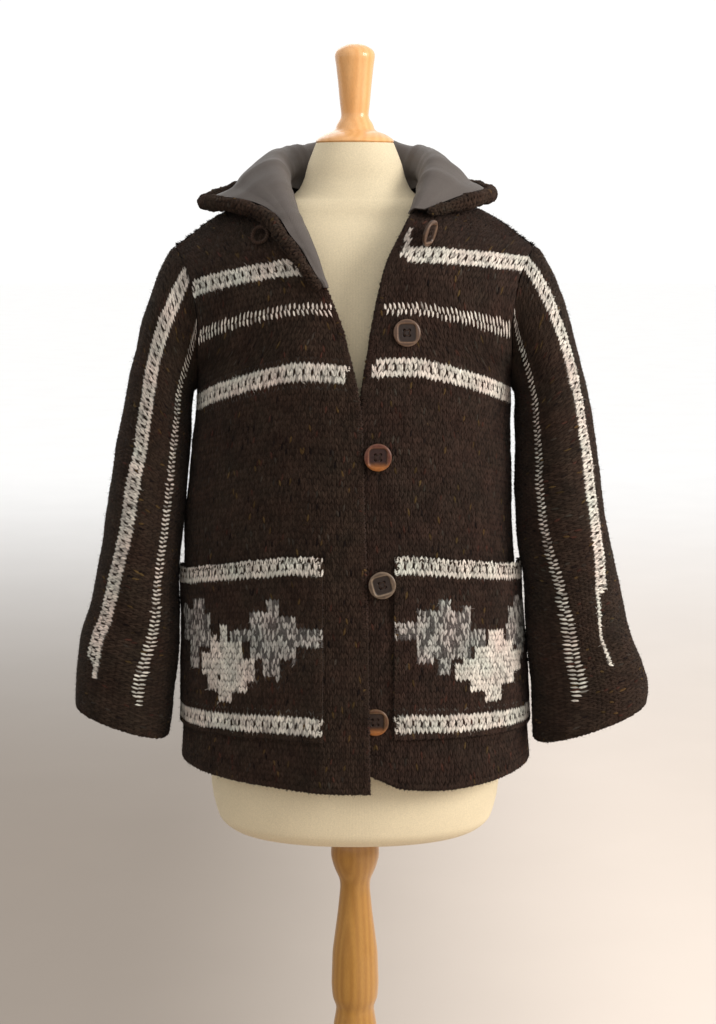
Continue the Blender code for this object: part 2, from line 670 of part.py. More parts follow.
def hood_station(along, here, normal, inside):
    """Points of the hood's knitted side from the neckline to the rim, at one place along the neckline."""
    inside = inside / np.linalg.norm(inside)
    normal = normal / np.linalg.norm(normal)
    lie = hood("lie", along)
    heading = math.radians(hood("heading", along))
    away = np.array([math.sin(heading), math.cos(heading), 0.0])
    out = away * (1 - lie) + inside * lie
    out /= np.linalg.norm(out)
    up = np.array([0, 0, 1.0]) * (1 - lie) + normal * lie
    up /= np.linalg.norm(up)
    crest = (hood("crest_out", along), hood("crest_up", along))
    keel = (hood("keel_out", along), hood("keel_up", along))
    rim = (hood("rim_out", along), hood("rim_up", along))
    half = hood("keel_wide", along) / 2
    profile = (
        (0.0, 0.0),
        (crest[0] * 0.35, crest[1] * 0.60),
        crest,
        (keel[0] - half, (crest[1] + keel[1]) / 2),
        keel,
        (keel[0] + half, (keel[1] + rim[1]) / 2),
        rim,
    )
    base = here + normal * REST
    return curve_through([base + out * a + up * b for a, b in profile], PROFILE_CELLS)


def taper(places, thin, reach):
    """1 along most of the hood, falling to thin over a reach at each of its two front ends."""
    shares = []
    for along in places:
        from_ends = min((along - places[0]) / reach[0], (places[-1] - along) / reach[1])
        shares.append(thin + (1 - thin) * smooth(from_ends))
    return np.array(shares)


def hood_grid(grids):
    """Stations at each of the neckline's points and halfway between them, and where they are along it."""
    known = neckline_points(grids)
    stations = []
    for now, after in zip(known, known[1:]):
        stations.append(hood_station(*now))
        stations.append(hood_station(*[(a + b) / 2 for a, b in zip(now, after)]))
    stations.append(hood_station(*known[-1]))
    grid = np.array(stations)
    places = [item[0] for item in known]
    places = np.interp(np.arange(len(grid)) / 2, np.arange(len(places)), places)
    free = np.array([1 - hood("lie", along) for along in places])[1:-1, None, None] / 2
    for _ in range(EASE):
        even = (grid[:-2, 2:] + grid[2:, 2:]) / 2
        grid[1:-1, 2:] = grid[1:-1, 2:] * (1 - free) + even * free
    return grid, places


def build_hood(grids):
    """The knitted hood, its lining and the rolled edging along its rim."""
    grid, places = hood_grid(grids)
    normals = grid_normals(grid)
    middle = len(grid) // 2
    if normals[middle, 1, 1] > 0:
        normals = -normals
    knit = KNIT * taper(places, HOOD_THIN, HOOD_TAPER)[:, None, None]
    sheet("hood", grid, grid + normals * knit, "knit_brown")
    near = knit + SEAM
    sheet("hood_lining", grid + normals * near, grid + normals * (near + LINING), "lining_taupe")
    ahead = grid[:, -1] - grid[:, -2]
    rim = np.gradient(grid[:, -1], axis=0)
    rim /= np.linalg.norm(rim, axis=1, keepdims=True)
    ahead -= rim * np.sum(ahead * rim, axis=1, keepdims=True)
    ahead /= np.linalg.norm(ahead, axis=1, keepdims=True)
    roll = ROLL * taper(places, ROLL_THIN, ROLL_TAPER)
    centre = grid[:, -1] + normals[:, -1] * (near[:, 0] + LINING) / 2 + ahead * (roll + ROLL_GAP)[:, None]
    tube("hood_edging", centre, roll, ROLL_SIDES, "knit_brown")
    return centre


def build_loop(rim, grids):
    """A closed loop of knitted cord that hangs from the edging and lies on the wearer's right front."""
    place = rim[np.argmin(np.abs(rim[:, 0] - LOOP_X) + (rim[:, 1] > 0))]
    outer, normals = grids[-1]
    reach = ROLL + SEAM + LOOP_CORD + LOOP_RADIUS
    middle = place - np.array([0, 0, reach])
    steps = np.linspace(0, 1, RIM_STEPS, endpoint=False)[:, None]
    line = np.concatenate([a + (b - a) * steps for a, b in zip(rim, rim[1:])])
    for _ in range(LOOP_PASSES):
        place = line[np.argmin(np.linalg.norm(line - middle, axis=1))]
        apart = np.linalg.norm(outer - middle, axis=2)
        i, j = np.unravel_index(np.argmin(apart), apart.shape)
        normal = normals[i, j]
        height = (middle - outer[i, j]).dot(normal)
        middle = middle + normal * (LOOP_CORD + LOOP_STANDS - height)
        away = middle - place
        middle = place + away / np.linalg.norm(away) * reach
    down = away / np.linalg.norm(away)
    across = np.cross(down, normal)
    across /= np.linalg.norm(across)
    out = np.cross(across, down)
    around, section = LOOP_SIDES
    points = []
    for i in range(around):
        turn = 2 * math.pi * i / around
        spoke = down * math.cos(turn) + across * math.sin(turn)
        for k in range(section):
            roll = 2 * math.pi * k / section
            points.append(middle + spoke * (LOOP_RADIUS + LOOP_CORD * math.cos(roll))
                          + out * LOOP_CORD * math.sin(roll))
    faces = []
    for i in range(around):
        for k in range(section):
            n = (i + 1) % around
            m = (k + 1) % section
            faces.append((i * section + k, i * section + m, n * section + m, n * section + k))
    solid("button_loop", points, faces, "knit_brown")


def tube(name, centre, radii, sides, finish):
    """A round solid along a line of points, with a radius at each, closed at both ends."""
    ahead = np.gradient(centre, axis=0)
    ahead /= np.linalg.norm(ahead, axis=1, keepdims=True)
    across = np.cross(ahead[0], np.array([0, 0, 1.0]))
    rings = []
    for place, direction, radius in zip(centre, ahead, radii):
        across = across - direction * across.dot(direction)
        across /= np.linalg.norm(across)
        third = np.cross(direction, across)
        turns = [2 * math.pi * k / sides for k in range(sides)]
        rings.append([place + radius * (across * math.cos(t) + third * math.sin(t)) for t in turns])
    return rings_solid(name, rings, finish)


def rings_solid(name, rings, finish, sharp=40.0):
    """A solid through closed rings of equal counts, with a flat cap at each end."""
    sides = len(rings[0])
    points = [p for ring in rings for p in ring]
    faces = []
    for i in range(len(rings) - 1):
        for k in range(sides):
            n = (k + 1) % sides
            faces.append((i * sides + k, i * sides + n, (i + 1) * sides + n, (i + 1) * sides + k))
    faces.append(tuple(range(sides)))
    faces.append(tuple((len(rings) - 1) * sides + k for k in range(sides)))
    return solid(name, points, faces, finish, sharp)


def turned(name, profile, sides, finish):
    rings = []
    for radius, height in profile:
        turns = [2 * math.pi * k / sides for k in range(sides)]
        rings.append([(radius * math.cos(t), radius * math.sin(t), height) for t in turns])
    return rings_solid(name, rings, finish)


def build_torso():
    rings = []
    power = 2 / TORSO_ROUND
    for row in TORSO:
        height, half, front, back = row
        ring = []
        for k in range(TORSO_SIDES):
            turn = 2 * math.pi * k / TORSO_SIDES
            x = math.copysign(abs(math.cos(turn)) ** power, math.cos(turn))
            y = math.copysign(abs(math.sin(turn)) ** power, math.sin(turn))
            ring.append((half * x, y * (back if y > 0 else front), height))
        rings.append(ring)
    rings_solid("dress_form", rings, "form_jersey", TORSO_SHARP)


def under_front(x, height):
    """The outer point and normal of the wearer's left front at a given X and height."""
    top = shoulder("height", abs(x))
    climb = (height - HEM) / (top - SHOULDER_DROP - HEM)
    if climb > 1:
        sine = (height - top + SHOULDER_DROP) / SHOULDER_DROP
        climb = 1 + math.degrees(math.asin(min(sine, 1.0))) / 90
    angle = angle_at(1, x, climb)
    here = front_point(1, angle, climb)
    across = front_point(1, angle + SMALL_TURN, climb) - here
    along = front_point(1, angle, climb + SMALL_TURN) - here
    normal = np.cross(along, across)
    normal /= np.linalg.norm(normal)
    if normal[1] > 0:
        normal = -normal
    return here, normal


def build_button(row):
    """A turned button with a raised rim round a rounded square hollow, on a shank of wound thread."""
    place, normal = under_front(row["x"], row["height"])
    section = [(radius * BUTTON_RADIUS, height * BUTTON_THICK, square) for radius, height, square in BUTTON_SECTION]
    swing = math.radians(row["swing"])
    lift = max(radius * math.sin(swing) - height * math.cos(swing) for radius, height, _ in section)
    shank = row["stands"] - REST
    if shank > 0:
        section = [(SHANK_RADIUS, -shank, 0.0), (SHANK_RADIUS, 0.0, 0.0)] + section
    rings = []
    for radius, height, square in section:
        ring = []
        for k in range(BUTTON_SIDES):
            turn = 2 * math.pi * k / BUTTON_SIDES
            corner = (abs(math.cos(turn)) ** SQUARENESS + abs(math.sin(turn)) ** SQUARENESS) ** (-1 / SQUARENESS)
            reach = radius * (1 - square + square * corner)
            ring.append(Vector((reach * math.cos(turn), reach * math.sin(turn), height)))
        rings.append(ring)
    facing = Vector(normal)
    right = Vector((0, 0, 1)).cross(facing).normalized()
    up = facing.cross(right)
    frame = Matrix((right, up, facing)).transposed()
    axis = Matrix.Rotation(math.radians(-row["lean"]), 3, facing) @ up
    swung = Matrix.Rotation(swing, 3, axis)
    turn = Matrix.Rotation(math.radians(row["turn"]), 3, "Z")
    centre = Vector(place) + facing * (row["stands"] + lift)
    rings = [[centre + swung @ (frame @ (turn @ p)) for p in ring] for ring in rings]
    rings_solid(row["name"], rings, "button_horn")


def build_stand():
    turned("neck_cap", NECK_CAP, CAP_SIDES, "wood_beech")
    turned("pole", POLE, POLE_SIDES, "wood_beech")
    turned("base", BASE, BASE_SIDES, "wood_beech")


def main():
    grids = build_body()
    build_sleeve("sleeve_right", -1, SLEEVE_MINUS_X, grids)
    build_sleeve("sleeve_left", 1, SLEEVE_PLUS_X, grids)
    rim = build_hood(grids)
    build_loop(rim, grids)
    for row in BUTTONS:
        build_button(dict(zip(BUTTON_COLUMNS, row)))
    build_torso()
    build_stand()


main()
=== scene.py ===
"""Looks of the hooded knitted cardigan on its dress form: stitches, stripes, lining, buttons and wood.

Metres, +Z up, front facing -Y. The forms follow the same tables as the solids.
"""
import math

import bpy
import numpy as np
from mathutils import Matrix, Vector
from mathutils.kdtree import KDTree


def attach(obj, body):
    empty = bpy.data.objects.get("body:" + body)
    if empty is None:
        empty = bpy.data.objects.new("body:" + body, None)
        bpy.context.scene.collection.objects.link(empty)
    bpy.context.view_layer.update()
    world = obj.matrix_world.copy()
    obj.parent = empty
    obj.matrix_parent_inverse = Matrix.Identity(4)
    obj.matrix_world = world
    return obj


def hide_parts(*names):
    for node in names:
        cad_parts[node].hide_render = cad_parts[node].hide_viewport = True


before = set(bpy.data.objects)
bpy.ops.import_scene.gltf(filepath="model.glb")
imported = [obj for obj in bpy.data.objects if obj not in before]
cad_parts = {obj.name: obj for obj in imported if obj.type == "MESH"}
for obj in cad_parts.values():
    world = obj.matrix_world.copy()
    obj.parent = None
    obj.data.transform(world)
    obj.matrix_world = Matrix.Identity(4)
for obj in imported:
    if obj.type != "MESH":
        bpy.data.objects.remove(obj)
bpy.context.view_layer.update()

rng = np.random.default_rng(7)

# Cloth and seams
KNIT = 0.0050
POCKET_KNIT = 0.0040
LINING = 0.0010
SEAM = 0.0003
REST = 0.0006
HALF_SEAM = SEAM / 2

# Body of the cardigan
HEM = 0.803
ROUND = 2.3
SHOULDER_DROP = 0.110
NECK_HALF = 0.078
BACK_NECK_BEND = 56.0
LAP = KNIT + REST
BUTTON_LIFT = 0.0065

SHOULDER_COLUMNS = ("out", "height")
SHOULDER = (
    (0.000, 1.4670),
    (NECK_HALF, 1.4670),
    (0.100, 1.4600),
    (0.130, 1.4490),
    (0.165, 1.4310),
    (0.190, 1.4120),
    (0.206, 1.4010),
    (0.230, 1.3820),
)
HEM_COLUMNS = ("x", "front_right", "front_left", "back")
HEMS = (
    (-0.2050, 0.0100, 0.0176, 0.0100),
    (-0.1400, 0.0055, 0.0176, 0.0060),
    (-0.0600, 0.0010, 0.0176, 0.0020),
    (0.0180, 0.0000, 0.0176, 0.0000),
    (0.0380, 0.0000, 0.0072, 0.0000),
    (0.0735, 0.0000, 0.0000, 0.0000),
    (0.1500, 0.0000, 0.0005, 0.0010),
    (0.2050, 0.0080, 0.0080, 0.0080),
)
BODY_COLUMNS = ("climb", "minus_x", "plus_x", "front", "back", "edge")
BODY = (
    (0.000, 0.2030, 0.2045, 0.1500, 0.1320, 1.0000),
    (0.107, 0.2005, 0.2010, 0.1500, 0.1330, 1.0000),
    (0.200, 0.2000, 0.1985, 0.1495, 0.1330, 1.0000),
    (0.300, 0.1985, 0.1935, 0.1490, 0.1310, 1.0000),
    (0.390, 0.1975, 0.1885, 0.1480, 0.1280, 1.0000),
    (0.473, 0.1975, 0.1840, 0.1470, 0.1250, 1.0000),
    (0.570, 0.1965, 0.1815, 0.1460, 0.1220, 1.0000),
    (0.680, 0.1910, 0.1795, 0.1435, 0.1190, 1.0000),
    (0.780, 0.1850, 0.1780, 0.1405, 0.1180, 1.0000),
    (0.869, 0.1805, 0.1780, 0.1370, 0.1180, 1.0000),
    (0.930, 0.1885, 0.1880, 0.1330, 0.1180, 0.9416),
    (1.000, 0.1990, 0.1990, 0.1280, 0.1180, 0.8819),
    (1.167, 0.2040, 0.2040, 0.1260, 0.1180, 0.8725),
    (1.333, 0.2070, 0.2070, 0.1260, 0.1180, 0.8841),
    (1.500, 0.2090, 0.2090, 0.1260, 0.1180, 0.9091),
    (1.667, 0.2110, 0.2110, 0.1260, 0.1180, 0.9336),
    (1.833, 0.2130, 0.2130, 0.1260, 0.1180, 0.9531),
    (2.000, 0.2140, 0.2140, 0.1260, 0.1180, 0.9626),
)
ARMPIT_ROW = 9
POCKET_ROWS = (1, 5)
EDGE_COLUMNS = ("height", "upper", "under")
EDGES = (
    (0.803, 0.0170, -0.0200),
    (1.040, 0.0130, -0.0190),
    (1.150, 0.0095, -0.0140),
    (1.235, 0.0057, 0.0050),
    (1.284, -0.0048, 0.0130),
    (1.318, -0.0142, 0.0185),
    (1.357, -0.0302, 0.0268),
    (1.386, -0.0418, 0.0350),
    (1.412, -0.0548, 0.0480),
    (1.435, -0.0662, 0.0605),
    (1.452, -0.0720, 0.0710),
    (1.463, -0.0765, 0.0765),
    (1.467, -NECK_HALF, NECK_HALF),
)
POCKET_EDGE = {-1: 0.035, 1: 0.043}
EDGE_BAND = 0.016
EDGE_CELLS = 3
SIDE_CELLS = 9
NECK_CELLS = 6
BLADE_CELLS = 7
POCKET_GAPE = {-1: 0.002, 1: 0.007}
POCKET_SWEEP = 0.85

# Sleeves
SLEEVE_COLUMNS = ("out_x", "out_z", "in_x", "in_z", "depth", "middle", "own")
SLEEVE_PLUS_X = (
    (0.2190, 1.3920, 0.1815, 1.2395, 0.078, 0.000, 0.35),
    (0.2285, 1.3690, 0.1835, 1.2375, 0.079, -0.001, 0.70),
    (0.2385, 1.3390, 0.1850, 1.2330, 0.079, -0.003, 0.92),
    (0.2470, 1.3100, 0.1855, 1.2250, 0.078, -0.006, 1.00),
    (0.2580, 1.2670, 0.1850, 1.2050, 0.076, -0.012, 1.00),
    (0.2690, 1.2170, 0.1845, 1.1700, 0.073, -0.020, 1.00),
    (0.2775, 1.1550, 0.1840, 1.1200, 0.070, -0.028, 1.00),
    (0.2860, 1.0980, 0.1865, 1.0700, 0.068, -0.034, 1.00),
    (0.2955, 1.0460, 0.1950, 1.0250, 0.065, -0.038, 1.00),
    (0.3060, 1.0040, 0.1960, 0.9880, 0.063, -0.040, 1.00),
    (0.3165, 0.9620, 0.1990, 0.9450, 0.060, -0.041, 1.00),
    (0.3305, 0.9260, 0.2030, 0.9080, 0.058, -0.042, 1.00),
    (0.3375, 0.9010, 0.2050, 0.8740, 0.058, -0.042, 1.00),
    (0.3355, 0.8820, 0.2070, 0.8380, 0.060, -0.042, 1.00),
)
SLEEVE_MINUS_X = (
    (0.2195, 1.3880, 0.1840, 1.2385, 0.078, 0.000, 0.35),
    (0.2275, 1.3660, 0.1865, 1.2365, 0.079, -0.001, 0.70),
    (0.2360, 1.3400, 0.1880, 1.2320, 0.079, -0.003, 0.92),
    (0.2435, 1.3120, 0.1880, 1.2240, 0.078, -0.006, 1.00),
    (0.2525, 1.2730, 0.1885, 1.2030, 0.076, -0.012, 1.00),
    (0.2620, 1.2270, 0.1900, 1.1700, 0.073, -0.020, 1.00),
    (0.2725, 1.1700, 0.1935, 1.1250, 0.070, -0.028, 1.00),
    (0.2815, 1.1100, 0.1985, 1.0750, 0.068, -0.034, 1.00),
    (0.2900, 1.0580, 0.2040, 1.0250, 0.065, -0.038, 1.00),
    (0.3005, 1.0060, 0.2020, 0.9800, 0.063, -0.040, 1.00),
    (0.3135, 0.9640, 0.2040, 0.9370, 0.060, -0.041, 1.00),
    (0.3190, 0.9310, 0.2080, 0.9010, 0.057, -0.042, 1.00),
    (0.3215, 0.9040, 0.2120, 0.8690, 0.055, -0.042, 1.00),
    (0.3215, 0.8780, 0.2165, 0.8420, 0.053, -0.042, 1.00),
)
SLEEVE_ROUND = 2.2

# Hood
HOOD_STEP = 0.100
HOOD_COLUMNS = ("along", "heading", "lie", "crest_out", "crest_up", "keel_out", "keel_up", "keel_wide",
                "rim_out", "rim_up")
HOOD = (
    (-2.11, -130.0, 1.00, 0.0013, 0.0012, 0.0026, 0.0018, 0.0013, 0.0040, 0.0026),
    (-1.90, -130.0, 1.00, 0.0032, 0.0020, 0.0060, 0.0028, 0.0028, 0.0090, 0.0038),
    (-1.57, -128.0, 1.00, 0.0055, 0.0050, 0.0113, 0.0054, 0.0050, 0.0168, 0.0060),
    (-1.30, -118.0, 0.80, 0.0080, 0.0105, 0.0170, 0.0095, 0.0075, 0.0270, 0.0075),
    (-1.10, -104.0, 0.35, 0.0110, 0.0230, 0.0390, 0.0125, 0.0180, 0.0610, 0.0000),
    (-1.00, -90.0, 0.00, 0.0140, 0.0360, 0.0680, 0.0000, 0.0300, 0.0970, -0.0140),
    (-0.86, -68.0, 0.00, 0.0180, 0.0490, 0.0720, -0.0080, 0.0320, 0.1030, -0.0180),
    (-0.68, -52.0, 0.00, 0.0220, 0.0610, 0.0740, -0.0280, 0.0380, 0.1020, -0.0090),
    (-0.54, -38.0, 0.00, 0.0250, 0.0690, 0.0760, -0.0650, 0.0500, 0.1070, 0.0110),
    (-0.30, -20.0, 0.00, 0.0260, 0.0740, 0.0770, -0.0850, 0.0560, 0.1090, 0.0420),
    (0.00, 0.0, 0.00, 0.0260, 0.0750, 0.0780, -0.0900, 0.0560, 0.1100, 0.0520),
    (0.30, 20.0, 0.00, 0.0260, 0.0740, 0.0770, -0.0850, 0.0560, 0.1090, 0.0420),
    (0.54, 38.0, 0.00, 0.0250, 0.0710, 0.0760, -0.0650, 0.0500, 0.1070, 0.0110),
    (0.68, 52.0, 0.00, 0.0220, 0.0640, 0.0720, -0.0280, 0.0380, 0.0980, -0.0070),
    (0.86, 68.0, 0.00, 0.0180, 0.0520, 0.0660, -0.0060, 0.0320, 0.0910, -0.0120),
    (1.00, 90.0, 0.00, 0.0140, 0.0370, 0.0560, 0.0080, 0.0280, 0.0760, -0.0020),
    (1.10, 104.0, 0.35, 0.0110, 0.0230, 0.0340, 0.0140, 0.0160, 0.0500, 0.0040),
    (1.33, 118.0, 0.80, 0.0050, 0.0070, 0.0095, 0.0070, 0.0050, 0.0140, 0.0070),
)
PROFILE_CELLS = 14
EASE = 5
HOOD_THIN = 0.25
HOOD_TAPER = (0.55, 0.25)
ROLL = 0.0070
ROLL_THIN = 0.55
ROLL_TAPER = (0.35, 0.22)
ROLL_GAP = 0.0018
LOOP_X = -0.098
LOOP_RADIUS = 0.0095
LOOP_CORD = 0.0019
LOOP_STANDS = 0.0045

# Buttons
BUTTON_COLUMNS = ("name", "x", "height", "turn", "stands", "swing", "lean", "tone")
BUTTONS = (
    ("button_1", 0.0765, 1.412, 10.0, 0.0, 68.0, 40.0, "brown"),
    ("button_2", 0.0561, 1.311, 0.0, REST, 0.0, 0.0, "brown"),
    ("button_3", 0.0246, 1.177, 0.0, LAP + REST, 0.0, 0.0, "red"),
    ("button_4", 0.0293, 1.037, 15.0, LAP + REST, 0.0, 0.0, "grey"),
    ("button_5", 0.0223, 0.883, 0.0, REST, 0.0, 0.0, "amber"),
)
BUTTON_RADIUS = 0.0150
BUTTON_THICK = 0.0046
BUTTON_SECTION = ((0.86, 0.0), (0.99, 0.30), (1.0, 0.60), (0.95, 1.0), (0.72, 1.0), (0.65, 0.55))
BUTTON_PAN = 0.0104
SHANK_RADIUS = 0.0026
# A button's pan colour is darker, partly its own colour and partly painted shade; its ring colour is a painted
# highlight.
TONES = {                # colours of a button's face, its pan and the ring round the pan
    "brown": ((0.062, 0.034, 0.021), (0.018, 0.010, 0.007), (0.150, 0.090, 0.058)),
    "amber": ((0.072, 0.030, 0.012), (0.022, 0.011, 0.007), (0.140, 0.082, 0.044)),
    "red": ((0.080, 0.022, 0.012), (0.024, 0.009, 0.007), (0.130, 0.060, 0.036)),
    "grey": ((0.076, 0.050, 0.033), (0.020, 0.012, 0.009), (0.190, 0.136, 0.092)),
}
HOLE_AT = 0.0029
HOLE_RADIUS = 0.0013

# Dress form and stand
TORSO = (
    (0.7190, 0.118, 0.074, 0.074),
    (0.7212, 0.137, 0.090, 0.089),
    (0.7275, 0.1505, 0.103, 0.101),
    (0.7370, 0.1598, 0.1115, 0.110),
    (0.7490, 0.1640, 0.1150, 0.1135),
    (0.8200, 0.170, 0.118, 0.116),
    (0.9200, 0.152, 0.104, 0.100),
    (1.0200, 0.128, 0.092, 0.085),
    (1.1200, 0.138, 0.104, 0.090),
    (1.2200, 0.150, 0.122, 0.098),
    (1.3000, 0.160, 0.108, 0.100),
    (1.3600, 0.166, 0.090, 0.095),
    (1.4000, 0.164, 0.078, 0.085),
    (1.4200, 0.150, 0.070, 0.070),
    (1.4350, 0.1385, 0.0635, 0.054),
    (1.4450, 0.1228, 0.0610, 0.0475),
    (1.4525, 0.098, 0.0585, 0.040),
    (1.4580, 0.074, 0.0560, 0.036),
    (1.4665, 0.0635, 0.0530, 0.045),
    (1.4760, 0.0585, 0.050, 0.048),
    (1.4950, 0.0530, 0.048, 0.050),
    (1.5180, 0.044, 0.044, 0.044),
)
TORSO_ROUND = 2.2
NECK_CAP = (
    (0.0430, 1.5183),
    (0.0452, 1.5195),
    (0.0454, 1.5212),
    (0.0412, 1.5240),
    (0.0330, 1.5288),
    (0.0232, 1.5319),
    (0.0212, 1.5333),
    (0.0216, 1.5366),
    (0.0211, 1.5398),
    (0.0181, 1.5428),
    (0.0150, 1.5454),
    (0.0153, 1.5490),
    (0.0171, 1.5639),
    (0.0189, 1.5839),
    (0.0211, 1.6040),
    (0.0231, 1.6165),
    (0.0225, 1.6200),
    (0.0165, 1.6245),
    (0.0095, 1.6275),
)
POLE = (
    (0.0210, 0.0353),
    (0.0300, 0.0400),
    (0.0300, 0.0520),
    (0.0200, 0.0600),
    (0.0185, 0.1200),
    (0.0205, 0.3000),
    (0.0190, 0.4500),
    (0.0240, 0.4600),
    (0.0262, 0.4720),
    (0.0240, 0.4840),
    (0.0222, 0.4960),
    (0.0270, 0.5080),
    (0.0283, 0.5250),
    (0.0270, 0.5650),
    (0.0205, 0.6150),
    (0.0175, 0.6450),
    (0.0183, 0.6555),
    (0.0220, 0.6625),
    (0.0256, 0.6715),
    (0.0288, 0.6835),
    (0.0284, 0.6940),
    (0.0262, 0.7050),
    (0.0215, 0.7140),
    (0.0200, 0.7187),
)
BASE = (
    (0.1950, 0.0000),
    (0.2000, 0.0050),
    (0.2000, 0.0130),
    (0.1900, 0.0170),
    (0.1780, 0.0190),
    (0.1500, 0.0290),
    (0.1200, 0.0350),
)
TURNED_SIDES = 96

# Stitches
FINE = 8                 # fine cells to a cell of the tables' grids
WALE = 0.0050            # width of one stitch
COURSE = 0.0066          # height of one row of stitches
EDGE_COURSE = 0.0042     # the same where they wrap round an edge
STITCH_RISE = 0.0008     # how far a stitch stands proud of the cloth's face
SHELL_SINK = 0.0007      # how far the cloth between stitches lies below that face

# One leg of a stitch: across and up in shares of the stitch, and rise in shares of STITCH_RISE
LEG = np.array((
    (0.02, -0.58, 0.1),
    (-0.08, -0.12, -0.3),
    (0.16, -0.16, 1.0),
    (0.41, -0.20, -0.3),
    (0.06, 0.42, -0.3),
    (0.30, 0.34, 0.9),
    (0.56, 0.26, -0.3),
    (0.45, 0.74, 0.1),
))
LEG_FACES = np.array(((0, 2, 1), (0, 3, 2), (1, 2, 5), (1, 5, 4), (2, 3, 6), (2, 6, 5), (4, 5, 7), (5, 6, 7)))

# Colours as linear red, green and blue
BROWN = np.array((0.0262, 0.0156, 0.0112))
FLECKS = np.array((
    (0.070, 0.042, 0.016),
    (0.046, 0.019, 0.013),
    (0.040, 0.031, 0.024),
    (0.010, 0.006, 0.005),
))
CREAM = np.array((0.600, 0.545, 0.480))
MARL_LIGHT = np.array((0.360, 0.335, 0.305))
MARL_DARK = np.array((0.085, 0.075, 0.070))

# Stripes of three rows (heavy) or two (thin), by the climb at which they are knitted in
STRIPE_TALL = {"heavy": 3, "thin": 2}
STRIPES = {
    "front_right": (("heavy", 0.838), ("thin", 0.965), ("heavy", 1.135)),
    "front_left": (("heavy", 0.845), ("thin", 0.965), ("heavy", 1.215)),
    "back": (("heavy", 0.845), ("thin", 0.965), ("heavy", 1.215)),
}

# Over the yoke the rows lie flatter: from this height over this fade, up to this one over this fade
YOKE = (1.290, 0.090, 1.420, 0.045)
YOKE_FLAT = {-1: 0.45, 0: 0.60, 1: 0.75}    # fronts at -X and +X, back
EDGE_FREE = 0.009        # stripes stop this far from a front edge
HOOK = (0.0545, 1.400, 0.27, 1.392, 1.421)   # a stroke that turns up: X at a height, slope, from and to

# A sleeve's stripes: style, where round it from the underarm by the front, and how far along it goes
# in full and as one row
SLEEVE_STRIPES = {
    -1: (("heavy", 0.36, 0.85, 0.87), ("thin", 0.20, 0.80, 0.80)),
    1: (("heavy", 0.36, 0.72, 0.87), ("thin", 0.20, 0.81, 0.81)),
}

# How far round a sleeve its stripes lie from where they start, by the share of its length
SLEEVE_FLOW = {
    -1: ((0.00, -0.070, -0.068), (0.36, -0.070, -0.066), (0.42, -0.066, -0.058), (0.56, -0.058, -0.052),
         (0.70, -0.042, -0.020), (0.78, -0.030, 0.000), (0.88, 0.000, 0.000), (1.00, 0.000, 0.000)),
    1: ((0.00, -0.030, -0.035), (0.16, -0.030, -0.020), (0.31, -0.030, 0.000), (0.44, -0.022, 0.000),
        (0.53, -0.010, 0.000), (0.62, 0.010, -0.012), (0.68, 0.022, -0.035), (0.77, 0.035, -0.050),
        (0.90, 0.035, -0.040), (1.00, 0.030, -0.040)),
}

# Stepped crosses on the pockets: kind, then X and height from and to, in metres
MOTIFS = {
    "pocket_right": (
        ("grey", -0.0978, -0.0833, 1.0011, 1.0168),
        ("grey", -0.1172, -0.0635, 0.9506, 1.0023),
        ("grey", -0.1366, -0.1171, 0.9687, 0.9823),
        ("grey", -0.0635, -0.0360, 0.9671, 0.9895),
        ("grey", -0.1038, -0.0837, 0.9301, 0.9504),
        ("grey", -0.1821, -0.1700, 0.9955, 1.0093),
        ("grey", -0.1950, -0.1629, 0.9552, 0.9960),
        ("grey", -0.1870, -0.1755, 0.9296, 0.9560),
        ("cream", -0.1519, -0.1424, 0.9670, 0.9829),
        ("cream", -0.1616, -0.1241, 0.9484, 0.9677),
        ("cream", -0.1718, -0.1095, 0.9249, 0.9500),
        ("cream", -0.1658, -0.1210, 0.9095, 0.9244),
        ("cream", -0.1550, -0.1384, 0.8962, 0.9089),
    ),
    "pocket_left": (
        ("grey", 0.0903, 0.1071, 1.0062, 1.0196),
        ("grey", 0.0683, 0.1278, 0.9501, 1.0052),
        ("grey", 0.0430, 0.0683, 0.9726, 0.9938),
        ("grey", 0.1278, 0.1451, 0.9629, 0.9822),
        ("grey", 0.0918, 0.1087, 0.9329, 0.9499),
        ("grey", 0.1790, 0.1870, 0.9985, 1.0105),
        ("grey", 0.1715, 0.1960, 0.9517, 0.9990),
        ("grey", 0.1840, 0.1930, 0.9320, 0.9520),
        ("cream", 0.1510, 0.1679, 0.9590, 0.9785),
        ("cream", 0.1337, 0.1782, 0.9438, 0.9633),
        ("cream", 0.1121, 0.1893, 0.9244, 0.9473),
        ("cream", 0.1281, 0.1812, 0.9120, 0.9327),
        ("cream", 0.1457, 0.1649, 0.8979, 0.9117),
    ),
}

